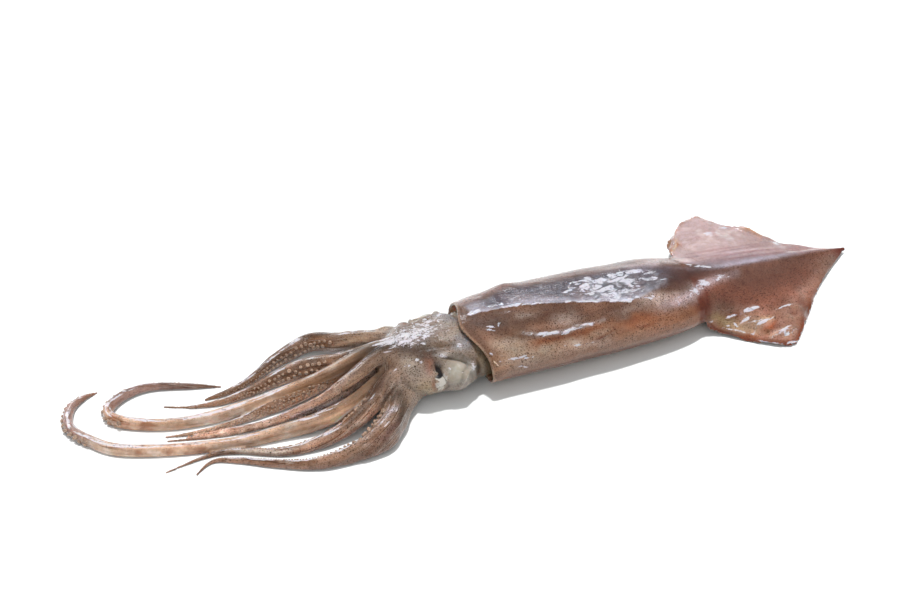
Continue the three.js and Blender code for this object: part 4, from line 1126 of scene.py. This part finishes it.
# lightening and darkening along lines, partly the flesh's own tone and partly painted light and shade: the
# gaps between the arms' roots are darkened as shade, the arms and the neck under the rim are lightened
# against their shade, and a short line under the brow is a painted highlight
FLESH_TONES = [  # factor, width, line
    (1.4, 5, [282, 393, 305, 386, 332, 377]), (1.35, 3, [276, 390, 288, 384, 300, 379]),
    (1.6, 6, [262, 420, 290, 405, 312, 395, 345, 378]), (1.35, 5, [300, 402, 318, 394, 334, 385]),
    (1.6, 5, [258, 427, 285, 418, 300, 408, 330, 400, 362, 380]), (1.6, 4, [268, 426, 300, 414, 335, 400]),
    (1.35, 5, [350, 385, 366, 376, 380, 366]), (1.3, 5, [338, 378, 350, 366, 358, 362]),
    (1.9, 6, [166, 438, 200, 433, 240, 428, 264, 421]), (1.3, 4, [198, 424, 230, 422, 262, 416]),
    (1.7, 5, [300, 427, 330, 417, 356, 403]), (1.5, 5, [322, 424, 335, 418, 346, 410]),
    (1.6, 6, [283, 448, 315, 443, 345, 430, 364, 415, 380, 404]), (1.6, 5, [334, 443, 355, 430, 376, 412]),
    (1.7, 5, [300, 450, 310, 447, 320, 443]), (1.8, 3.5, [204, 466, 222, 462, 262, 464, 304, 468]),
    (1.5, 6, [306, 464, 345, 455, 382, 436]), (1.35, 5, [308, 463, 320, 460, 334, 457]),
    (1.6, 5, [333, 345, 355, 340, 385, 331]), (1.3, 12, [394, 374, 405, 377, 418, 380]),
    (1.4, 5, [384, 396, 390, 390, 396, 384]), (1.3, 4, [274, 369, 288, 365, 302, 362]),
    (1.3, 4, [303, 373, 322, 365, 347, 360]), (1.35, 6, [160, 450, 182, 450, 206, 450]),
    (1.3, 6, [102, 394, 103, 408, 116, 422, 150, 429]), (1.2, 8, [395, 400, 400, 410, 398, 425]),
    (1.25, 6, [424, 366, 428, 372, 428, 382]), (1.5, 5, [326, 424, 337, 419, 348, 410]),
    (1.5, 5, [362, 422, 372, 414, 382, 404]), (1.4, 4, [334, 442, 342, 438, 352, 432]),
    (1.3, 4, [276, 386, 290, 381, 304, 374, 312, 368]), (1.25, 4, [316, 384, 328, 380, 338, 375]),
    (1.3, 4, [322, 404, 336, 397, 350, 388]), (1.4, 5, [190, 435, 212, 431, 236, 427]),
    (1.3, 4, [200, 407, 222, 403, 242, 400]), (1.3, 4, [276, 454, 300, 453, 320, 449]),
    (0.28, 6, [346, 351, 368, 349, 386, 345, 404, 346]), (0.5, 4, [334, 406, 352, 398, 368, 384, 386, 366]),
    (0.75, 4, [300, 422, 322, 413, 344, 404]), (0.4, 6, [384, 402, 395, 396, 405, 386]),
    (0.45, 6, [400, 396, 403, 412, 400, 428]), (0.45, 4, [345, 426, 356, 414, 366, 402]),
    (0.75, 4, [276, 429, 294, 424]), (0.45, 3, [300, 338, 318, 334, 336, 333]),
    (0.65, 5, [264, 365, 280, 358, 296, 354]), (0.7, 5, [304, 363, 312, 360, 320, 359]),
    (0.6, 5, [150, 384, 185, 384, 224, 387]), (0.75, 6, [206, 452, 222, 447, 252, 440]),
    (0.75, 5, [322, 435, 330, 433, 338, 430]), (0.7, 6, [350, 455, 360, 452, 368, 446]),
    (0.75, 4, [238, 414, 246, 413, 254, 411]), (0.85, 4, [160, 420, 178, 420, 196, 419]),
    (0.45, 8, [414, 344, 426, 350, 442, 353]), (0.35, 5, [436, 360, 440, 366, 441, 372]),
    (0.55, 5, [458, 356, 472, 360, 480, 371]), (0.7, 4, [480, 346, 487, 358, 492, 372]),
    (0.75, 8, [444, 388, 460, 384, 474, 378]), (0.75, 5, [414, 356, 420, 358, 426, 360]),
    (0.75, 6, [388, 347, 398, 346, 408, 347]), (1.35, 4, [328, 351, 345, 344, 362, 340, 382, 336]),
    (0.65, 4, [344, 368, 358, 360, 372, 353, 386, 347]), (1.4, 4, [330, 403, 346, 394, 362, 381, 378, 369]),
    (1.5, 3.5, [328, 426, 338, 420, 350, 411]), (1.6, 4.5, [364, 430, 372, 420, 382, 409]),
    (1.4, 3, [330, 446, 342, 441, 352, 434]), (1.35, 3, [260, 391, 278, 386, 294, 380]),
    (1.3, 3, [198, 407, 222, 404, 242, 399]), (1.4, 3.5, [172, 438, 200, 436, 240, 431]),
    (1.4, 3, [225, 463, 262, 467, 302, 468]), (1.35, 5, [385, 397, 393, 390, 401, 381]),
    (1.25, 5, [406, 352, 413, 360, 417, 370]), (1.25, 6, [407, 386, 416, 386, 427, 377]),
    (1.25, 4, [426, 361, 432, 364, 436, 363]), (0.65, 4, [372, 386, 380, 374, 387, 361]),
    (0.75, 4, [361, 405, 370, 394, 377, 383]), (0.7, 5, [284, 427, 310, 417, 330, 412, 344, 407]),
    (0.65, 5, [342, 430, 357, 421, 367, 407]), (0.65, 4, [404, 401, 404, 412, 400, 425]),
    (0.7, 3, [290, 447, 302, 443, 312, 441]), (0.75, 4, [261, 367, 274, 362, 287, 356]),
    (0.8, 4, [415, 343, 424, 340, 436, 338]), (0.8, 4, [464, 364, 470, 370, 472, 377]),
    (0.8, 3.5, [420, 392, 428, 393, 438, 392]), (1.6, 4, [461, 328, 471, 341, 479, 353, 484, 367]),
    (1.6, 2, [436, 356.5, 443, 354.5, 450, 353]),
]
LIMB_GAIN = np.array([0.99, 1.02, 1.09])
soft = mottle(meat, (11, 4.5, 2.0), 81)
off_mouth = np.abs(from_oral)
mouth = ease(MOUTH_EDGE, 0.5, off_mouth)
crown = ease(-66, -44, meat[:, 0])
upper = ease(0.2, 0.8, outward[:, 2])
speckle = ease(0.2, 0.6, noise(meat, 3.0, 84) + 0.4 * noise(meat, 1.3, 85))
stalk = wash(
    (226, 186, 154), ((246, 220, 198), ease(0.0, 0.45, -soft)),
    ((170, 114, 80), 0.75 * ease(0.1, 0.45, soft + 0.3 * streaks) * ease(0.2, 0.4, share)),
    ((172, 138, 124), ease(0.6, 0.72, share)),
    ((126, 88, 70), 0.7 * ease(0.1, 0.6, streaks) * ease(0.6, 0.7, share)),
    ((152, 114, 92), ease(0.84, 0.95, share)), ((172, 134, 104), ease(0.34, 0.2, share)))
skull = wash(
    (166, 148, 134), ((116, 90, 72), 0.65 * ease(0.0, 0.5, soft) * (1 - 0.5 * upper)),
    # painted sheen: the grey-lilac on the crinkled patch of the crown, first on the next line
    ((160, 150, 152), 0.85 * patch), ((110, 92, 80), 0.6 * speckle * bell(flesh_v, *SPECKLED) * (1 - patch)))
colours = wash(
    ARM, ((134, 102, 86), 0.6 * ease(1.7, 2.9, off_mouth)),
    (DARK, 0.65 * ease(0.15, 0.7, streaks * 0.8 + soft * 0.5)),
    (PALE, 0.6 * ease(0.15, 0.7, 0.5 * ripples - soft)),
    ((172, 124, 88), 0.5 * mouth * ease(-0.2, 0.4, soft)),
    ((190, 170, 156), 0.5 * bell(off_mouth, MOUTH_EDGE, 0.15)),
    (stalk, is_tentacle), ((150, 126, 106), 0.6 * crown), (skull, on_head))
for colour, weight, *place in HEAD_SHADES:
    colours = wash(colours, (colour, weight * blot(*place) * (1 - patch)))
for colour, weight, *place in HEAD_MARKS:
    colours = wash(colours, (colour, weight * spot(*place)))
colours = paint(colours, on_cheek, 1, CHEEK_STROKES)
orbit = on_head * (gap < 9.5) * sideways
cup = ease(1.1, 0.9, oval(near_u, near_v, *EYE_CUP)) * ease(0.85, 1.1, oval(near_u, near_v, *EYE_SHADE))
colours = wash(
    colours, ((228, 220, 210), orbit * cup),
    ((148, 92, 62), 0.9 * orbit * stroke(near_u, near_v, EYE_FRONT, 2.0)),
    ((122, 104, 80), ease(-5.5, -2, meat[:, 0] + 0.8 * noise(meat, 5, 86))),
    # painted shade: near black on the flesh at the rim of the upper slit, where the opening is dark
    ((40, 28, 24), ease(1.15, 0.8, slit) * orbit * ease(*SLIT_FOOT, near_v)))
shaken = 0.8 * noise(meat, 3.5, 87)
colours = paint(colours, lambda line, width: stroke(flesh_u + shaken, flesh_v + shaken, line, width),
                seen * on_limbs, ARM_STROKES)
colours = retouch(colours, on_flesh, seen, FLESH_TONES)
colours = colours * (1 + on_limbs[:, None] * (LIMB_GAIN - 1))
colours = grained(colours, meat, (0.10, 2.6, 91), (0.08, 1.3, 92))

# painted highlights where water on the flesh glares, strongest on faces that look up, and the finer marks of
# the material
GLINTS = [  # place in the picture, reach
    (442, 356, 6, 1.6), (472, 366, 3, 5), (459, 347, 4, 2.5), (417, 360, 2.4, 1.6), (421, 363, 1.6, 2.4),
    (404, 366, 8, 2), (449, 369, 2, 1.6), (462, 372, 1.6, 1.6), (441, 327, 9, 3), (456, 322, 5, 1.6),
    (424, 343, 4, 2),
]
# painted shade: where the flesh tones darken most, in the gaps and creases, the painted highlights are held
# back
painted_shade = strongest(on_flesh, seen, [(1, width, line) for factor, width, line in FLESH_TONES if factor < 0.6])
dark_zone = on_head * seen * on_flesh(DARK_BAND, 8)
web_shade = on_flesh(WEB, 8)
skyward = ease(0.55, 0.97, outward[:, 2]) * ease(-0.2, 0.2, outward[:, 1] + 0.35)
crown_glare = seen * ease(-60, -48, meat[:, 0]) * on_flesh(CROWN, 10)
shine = np.max([
    on_limbs * skyward * (0.6 - 0.3 * ease(0.78, 0.95, share)) * (1 - web_shade) * (1 - 0.95 * painted_shade),
    0.85 * crown_glare, 0.6 * seen * on_head * on_flesh(CROWN_EDGE, 5),
    *(0.85 * blot(*place) for place in GLINTS)], axis=0)
write_points(flesh.data, meat)
store_colour(flesh.data, "tint", colours)
dots = 0.9 - (0.45 * is_tentacle + 0.3 * mouth) * on_limbs - 0.6 * dome - 0.5 * bulge + 0.7 * dark_zone
strand = on_limbs * ease(0.05, 0.16, share) * (1 - 0.6 * is_tentacle * ease(0.62, 0.5, share))
sparkle = 0.35 + 0.6 * patch + 0.35 * crown - 0.3 * dome - 0.25 * is_tentacle * on_limbs
store_values(flesh.data, dots=dots, glare=shine, sparkle=sparkle, skull=on_head, strand=strand)
layer = flesh.data.attributes.new("flow", "FLOAT_VECTOR", "POINT")
layer.data.foreach_set("vector", (flow / 1000).astype(np.float32).ravel())


# ---------------------------------------------------------------- suckers
CUP = np.array([[0.10, 0.50], [0.26, 0.52], [0.42, 0.62], [0.60, 0.68], [0.80, 0.60], [0.96, 0.36],
                [1.00, 0.04], [0.84, -0.30], [0.62, -0.80]])
RING, HOLLOW = tint(188, 160, 140), tint(172, 140, 118)
LANES = {2: (0.85, 1.7), 3: (0.5, 1.25)}  # rows: radians between them, step along the limb in radii
LEAST_CUP, SINK, LEAN = 0.36, 0.84, 0.34


def cup_body(foot, facing, radius, sides):
    """A sucker: a thick ring round a shallow hollow, on a short stalk that sinks into the limb."""
    side = np.cross(facing, [0.31, 0.2, 0.93])
    side /= np.linalg.norm(side)
    angle = np.linspace(0, 2 * np.pi, sides, endpoint=False)
    round_way = np.cos(angle)[:, None] * side + np.sin(angle)[:, None] * np.cross(facing, side)
    rings = foot + radius * (CUP[:, 0, None, None] * round_way + CUP[:, 1, None, None] * facing)
    points, faces = loft(rings)
    deep = np.append(np.repeat(CUP[:, 0] < 0.3, sides), [True, False])
    return points, faces, deep


cup_points, cup_faces, cup_colours, cup_count = [], [], [], 0
draw = np.random.default_rng(7)
for limb in LIMBS.values():
    if limb["cups"] is None:
        continue
    low, high, size, lanes = limb["cups"]
    spread, stride = LANES[lanes]
    route = np.asarray(limb["route"], float)
    place, step = low * (len(route) - 1), 0
    while place < high * (len(route) - 1):
        (centre,), (girth,), (up_way,), (left_way,) = limb_frames(route, np.array([place]))
        radius = max(LEAST_CUP, girth * size * draw.uniform(0.68, 1.12))
        angle = math.radians(limb["oral"]) + (step % lanes - 0.5 * (lanes - 1)) * spread
        angle += 0.16 * draw.standard_normal()
        facing = up_way * math.cos(angle) + left_way * math.sin(angle)
        foot = centre + girth * SINK * (up_way * math.cos(angle) * SEAT + left_way * math.sin(angle))
        tilted = facing + LEAN * draw.standard_normal(3)
        tone = draw.uniform(0.72, 1.12)
        if foot[2] > radius * 0.9:
            sides = 12 if radius > 0.7 else 8
            points, faces, deep = cup_body(foot, tilted / np.linalg.norm(tilted), radius, sides)
            cup_points.append(points)
            cup_faces += [[cup_count + k for k in face] for face in faces]
            cup_colours.append(np.where(deep[:, None], HOLLOW, RING) * tone)
            cup_count += len(points)
        ahead, here = spline(route, [place + 0.1])[0], spline(route, [place])[0]
        place += radius * stride / max(math.dist(ahead[:3], here[:3]) / 0.1, 1)
        step += 1
cups = object_of("suckers", np.concatenate(cup_points), cup_faces)
store_colour(cups.data, "tint", np.concatenate(cup_colours))


# ---------------------------------------------------------------- eyes
SILVER_RIM, PUPIL = (439.6, 384, 6.8, 8.2), (438.5, 376, 3.8, 2.8)  # ovals in the picture
BROWN_SKIN, BROWN_EDGE = [433.5, 377, 434.2, 383, 436.5, 389], (431.5, 429)  # a line, and columns


def eye_object(name, side):
    """An eyeball: black in the upper slit, a silver rim in the opening below it, brown skin in front."""
    points, faces = ball_body([EYE_RADIUS] * 3, EYE * [1, side, 1], 90, 140)
    obj = object_of(name, points, faces)
    u, v = picture(points * [1, -side, 1])
    blur = noise(points, 1.2, 5)
    store_colour(obj.data, "tint", wash(
        (30, 22, 20), ((222, 214, 204), ease(1.15, 0.85, oval(u, v, *SILVER_RIM) + 0.15 * blur)),
        ((24, 18, 20), ease(1.2, 0.7, oval(u, v, *PUPIL) + 0.2 * blur)),
        ((138, 86, 56), 0.9 * stroke(u, v, BROWN_SKIN, 1.5)),
        ((110, 84, 66), ease(*BROWN_EDGE, u))))
    return obj


eyes = [eye_object("eyeball_left", -1), eye_object("eyeball_right", 1)]


# ---------------------------------------------------------------- materials
class Tree:
    """A short way to write a node material."""

    def __init__(self, name):
        self.material = bpy.data.materials.new(name)
        self.material.use_nodes = True
        self.nodes = self.material.node_tree.nodes
        self.links = self.material.node_tree.links
        self.shader = next(n for n in self.nodes if n.type == "BSDF_PRINCIPLED")

    def add(self, kind, **values):
        node = self.nodes.new(kind)
        for key, value in values.items():
            setattr(node, key, value)
        return node

    def feed(self, node, **inputs):
        """Sets or links inputs, named with underscores for spaces, or in0 to in2 by their place."""
        for key, value in inputs.items():
            socket = node.inputs[int(key[2]) if key in ("in0", "in1", "in2") else key.replace("_", " ")]
            if isinstance(value, bpy.types.NodeSocket):
                self.links.new(value, socket)
            else:
                socket.default_value = value
        return node

    def attribute(self, name, output="Fac"):
        return self.add("ShaderNodeAttribute", attribute_name=name).outputs[output]

    def place(self, stretch=(1, 1, 1), vector=None):
        vector = vector or self.add("ShaderNodeTexCoord").outputs["Object"]
        return self.feed(self.add("ShaderNodeMapping"), Vector=vector, Scale=stretch).outputs["Vector"]

    def noise(self, size, detail, rough=0.5, distortion=0.0, stretch=(1, 1, 1), vector=None):
        """Cloudy noise with blobs about `size` mm wide."""
        node = self.feed(self.add("ShaderNodeTexNoise"), Vector=self.place(stretch, vector),
                         Scale=1000 / size, Detail=detail, Roughness=rough, Distortion=distortion)
        return node.outputs["Fac"]

    def cells(self, size, feature="F1", vector=None):
        """Distances inside cells about `size` mm wide."""
        node = self.add("ShaderNodeTexVoronoi", feature=feature)
        self.feed(node, Vector=self.place(vector=vector), Scale=1000 / size)
        return node.outputs["Distance"]

    def math(self, operation, a, b=0.0):
        return self.feed(self.add("ShaderNodeMath", operation=operation), in0=a, in1=b).outputs["Value"]

    def times(self, *factors):
        """The product of two or more values."""
        product = factors[0]
        for factor in factors[1:]:
            product = self.math("MULTIPLY", product, factor)
        return product

    def ramp(self, value, low, high, out_low=0.0, out_high=1.0):
        node = self.add("ShaderNodeMapRange", interpolation_type="SMOOTHSTEP")
        self.feed(node, Value=value, From_Min=low, From_Max=high, To_Min=out_low, To_Max=out_high)
        return node.outputs["Result"]

    def mix(self, share, a, b, blend="MIX"):
        node = self.add("ShaderNodeMix", data_type="RGBA", blend_type=blend)
        for socket, value in ((node.inputs[0], share), (node.inputs[6], a), (node.inputs[7], b)):
            if isinstance(value, bpy.types.NodeSocket):
                self.links.new(value, socket)
            else:
                socket.default_value = (*value, 1) if socket.type == "RGBA" else value
        return node.outputs[2]

    def bump(self, height, depth, normal=None):
        """Relief `depth` mm deep."""
        node = self.feed(self.add("ShaderNodeBump"), Height=height, Strength=1.0, Distance=depth / 1000)
        if normal is not None:
            self.links.new(normal, node.inputs["Normal"])
        return node.outputs["Normal"]


def wet_skin(name, speck, cell, limbs):
    """Wet skin: tinted flesh, small dark pigment dots, fine relief, broken highlights painted into the colour
    and a film of water.

    Limbs also have strands along them, and folds drawn in colour alone, with painted shade in their furrows
    and painted highlights on their crests; the mantle has a cracked facet, its cracks painted dark.
    """
    t = Tree(name)
    colour = t.attribute("tint", "Color")
    colour = t.mix(t.ramp(t.noise(2.4, 4, 0.6), 0.35, 0.75, 0, 0.5), colour, (0.82, 0.72, 0.62), "MULTIPLY")
    colour = t.mix(t.ramp(t.noise(1.1, 3, 0.6), 0.52, 0.78, 0, 0.35), colour, (1.5, 1.5, 1.5), "MULTIPLY")
    patchy = t.noise(1.3 if limbs else 2.8, 2, 0.55, 1.0, (0.5, 1, 1))
    if limbs:
        flow, strand = t.attribute("flow", "Vector"), t.attribute("strand")
        run = t.ramp(t.noise(1.5, 3, 0.55, 0.4, (0.14, 1, 1), flow), 0.48, 0.7, 0, 0.5)
        colour = t.mix(t.times(run, strand), colour, (0.6, 0.46, 0.36), "MULTIPLY")
        # painted shade and highlights: folds drawn in colour alone, darker in their furrows and lighter on
        # their crests
        fold = t.noise(3.4, 1, 0.5, 0.3, (0.05, 1, 1), flow)
        furrow_shade = t.ramp(t.math("ABSOLUTE", t.math("SUBTRACT", fold, 0.47)), 0.022, 0.006)
        crest_highlight = t.ramp(t.math("ABSOLUTE", t.math("SUBTRACT", fold, 0.505)), 0.018, 0.004)
        colour = t.mix(t.times(furrow_shade, strand, 0.8), colour, (0.4, 0.3, 0.24), "MULTIPLY")
        colour = t.mix(t.times(crest_highlight, strand, 0.35), colour, (0.5, 0.42, 0.37))
        long = t.noise(1.5, 2, 0.55, 0.5, (0.16, 1, 1), flow)
        patchy = t.math("ADD", long, t.times(t.math("SUBTRACT", patchy, long), t.attribute("skull")))

    # pigment: a mealy ground and dots of three sizes, each a cell size, its dots' reach and their weight
    dots = t.attribute("dots")
    mealy = t.times(t.ramp(t.noise(0.55, 2, 0.6), 0.46, 0.66, 0, 0.8), dots)
    colour = t.mix(mealy, colour, (0.62, 0.5, 0.42), "MULTIPLY")
    for size, reach, weight in ((cell, 0.34, 0.9), (cell * 2.3, 0.19, 0.9), (cell * 0.62, 0.33, 0.8)):
        crowd = t.ramp(t.noise(size * 4, 2), 0.34, 0.56, 0.45, 1.0)
        dot = t.ramp(t.cells(size), reach, reach * 0.6)
        colour = t.mix(t.times(t.times(dot, dots), t.times(crowd, weight)), colour, speck)

    # painted highlights: where glare is set, the colour turns near white in broken patches, with small dark
    # pits painted among them
    sparkle, glare = t.attribute("sparkle"), t.attribute("glare")
    level = t.math("ADD", patchy, t.times(glare, 0.45))
    level = t.math("ADD", level, t.times(t.math("SUBTRACT", t.noise(0.9, 2, 0.6), 0.5), 0.2))
    white = t.math("ADD", t.ramp(level, 0.68, 0.8, 0, 0.28), t.ramp(level, 0.76, 0.81, 0, 0.56))
    white = t.times(white, t.ramp(glare, 0.12, 0.35))
    colour = t.mix(white, colour, (0.6, 0.57, 0.61) if limbs else (0.57, 0.56, 0.62))
    if not limbs:
        crackle = t.attribute("crackle")
        bent = t.place((0.42, 1, 1))
        wave = t.feed(t.add("ShaderNodeTexNoise"), Vector=bent, Scale=220.0, Detail=2.0)
        warp = t.add("ShaderNodeVectorMath", operation="MULTIPLY_ADD")
        t.feed(warp, in0=wave.outputs["Color"], in1=(0.004, 0.004, 0.004), in2=bent)
        shard = t.cells(4.2, "F1", vector=warp.outputs["Vector"])
        crack = t.ramp(t.cells(4.2, "DISTANCE_TO_EDGE", vector=warp.outputs["Vector"]), 0.16, 0.05)
        crack = t.times(crack, t.ramp(t.noise(7, 2), 0.42, 0.56))
        # painted shade: the cracks through the facet are darkened nearly to black
        colour = t.mix(t.times(crack, crackle, 0.9), colour, (0.04, 0.035, 0.045))
    pit = t.times(t.ramp(t.noise(1.4, 2, 0.5), 0.42, 0.36), t.ramp(glare, 0.4, 0.7))
    colour = t.mix(t.times(pit, 0.8 if limbs else 0.4), colour, (0.09, 0.065, 0.06))

    # relief of the flesh and of the water on it
    film = t.noise(6.5, 2, 0.5, 0.4, (0.6, 1, 1))
    crinkle = t.times(t.noise(1.7, 3, 0.6, 0.8, (0.7, 1, 1)), sparkle)
    under = t.bump(crinkle, 0.45, t.bump(t.noise(0.9, 3, 0.6), 0.05, t.bump(film, 0.35)))
    water = t.bump(crinkle, 0.65, t.bump(film, 0.38))
    if not limbs:
        water = t.bump(t.times(shard, crackle), 1.0, water)
        water = t.bump(t.times(crack, crackle), -0.25, water)

    t.feed(t.shader, Base_Color=colour, Roughness=0.45, IOR=1.38, Normal=under, Specular_IOR_Level=0.15,
           Subsurface_Weight=0.5, Subsurface_Radius=(1.0, 0.42, 0.24), Subsurface_Scale=0.0013,
           Coat_Weight=1.0, Coat_Roughness=0.045, Coat_IOR=1.36, Coat_Normal=water)
    return t.material


def glossy(name, relief_size, relief, deep, subsurface, coat_roughness):
    """The plain wet look of the suckers and the eyes."""
    t = Tree(name)
    colour = t.mix(t.ramp(t.noise(0.8, 4), 0.3, 0.7, 0, 0.45), t.attribute("tint", "Color"), deep, "MULTIPLY")
    t.feed(t.shader, Base_Color=colour, Roughness=0.3, IOR=1.4,
           Normal=t.bump(t.noise(relief_size, 3), relief),
           Subsurface_Weight=subsurface, Subsurface_Radius=(1, 0.6, 0.4), Subsurface_Scale=0.001,
           Coat_Weight=1.0, Coat_Roughness=coat_roughness, Coat_IOR=1.38)
    return t.material


mantle_material = wet_skin("mantle skin", (0.045, 0.018, 0.012), 1.12, False)
flesh_material = wet_skin("head and arm skin", (0.04, 0.022, 0.014), 1.15, True)
cup_material = glossy("sucker flesh", 0.5, 0.08, (0.78, 0.64, 0.52), 0.35, 0.06)
eye_material = glossy("eye", 0.9, 0.05, (0.75, 0.7, 0.66), 0.05, 0.03)

# from working millimetres into the frame's metres
middle_of_eye = (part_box("eye_left")[0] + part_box("eye_left")[1]) / 2
shift = middle_of_eye - Vector(EYE * [1, -1, 1]) / 1000


def place(obj, material, node, slot):
    write_points(obj.data, read_points(obj.data) / 1000 + np.array(shift))
    obj.data.materials.append(material)
    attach(obj, "root")
    if node:
        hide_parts(node)


place(mantle, mantle_material, "mantle", "mantle_skin")
place(flesh, flesh_material, "head_arms", "arm_skin")
place(cups, cup_material, None, "arm_skin")
place(eyes[0], eye_material, "eye_left", "eye")
place(eyes[1], eye_material, "eye_right", "eye")

# ---------------------------------------------------------------- slab, light and camera
slab_look = Tree("pale slab")
slab_look.feed(slab_look.shader, Base_Color=(0.86, 0.87, 0.87, 1), Roughness=0.6, Specular_IOR_Level=0.2)
floor = object_of("slab", [(-6, -6, 0), (6, -6, 0), (6, 6, 0), (-6, 6, 0)], [[0, 1, 2, 3]])
floor.data.materials.append(slab_look.material)

scene = bpy.context.scene
world = bpy.data.worlds.new("studio")
world.use_nodes = True
world.node_tree.nodes["Background"].inputs["Color"].default_value = (0.9, 0.97, 1.0, 1)
world.node_tree.nodes["Background"].inputs["Strength"].default_value = 0.34
scene.world = world


def lamp(name, kind, energy, azimuth, elevation, size, distance=1.3, colour=(1, 1, 1)):
    """A light in a direction from the squid: azimuth from +Y towards +X, and elevation, in degrees.

    A panel's size is its width and height in metres, and the sun's is its width in degrees.
    """
    data = bpy.data.lights.new(name, kind)
    data.energy = energy
    data.color = colour
    if kind == "AREA":
        data.shape = "RECTANGLE"
        data.size, data.size_y = size
    else:
        data.angle = math.radians(size)
    obj = bpy.data.objects.new(name, data)
    azimuth, elevation = math.radians(azimuth), math.radians(elevation)
    way = Vector((math.sin(azimuth) * math.cos(elevation), math.cos(azimuth) * math.cos(elevation),
                  math.sin(elevation)))
    obj.location = way * distance
    obj.rotation_euler = (-way).to_track_quat("-Z", "Y").to_euler()
    scene.collection.objects.link(obj)
    return obj


COOL_WHITE = (0.93, 0.95, 1)
lights = [lamp("key", "SUN", 2.85, 20, 86, 4), lamp("sky", "AREA", 46, 0, 90, (5, 5), 3),
          lamp("soft fill", "AREA", 9, 200, 42, (2.4, 1.2), 2.2)]
sheens = [lamp("wide sheen", "AREA", 8, 4, 29, (2.6, 1.0), 3, COOL_WHITE),
          lamp("bright sheen", "AREA", 15, 24, 37, (1.2, 0.4), 3, COOL_WHITE),
          lamp("front glint", "AREA", 2, 204.5, 38, (0.3, 0.1))]
for panel in lights:
    panel.visible_glossy = False
for panel in sheens:
    panel.visible_diffuse = False

camera_data = bpy.data.cameras.new("camera")
camera_data.lens, camera_data.sensor_width = LENS, SENSOR
camera_data.clip_start, camera_data.clip_end = 0.05, 50
camera = bpy.data.objects.new("camera", camera_data)
scene.collection.objects.link(camera)
camera.location = shift + Vector(TARGET + BACK * DISTANCE) / 1000
camera.rotation_euler = Vector(BACK).to_track_quat("Z", "Y").to_euler()
scene.camera = camera
scene.view_settings.view_transform = "Standard"
scene.view_settings.look = "None"
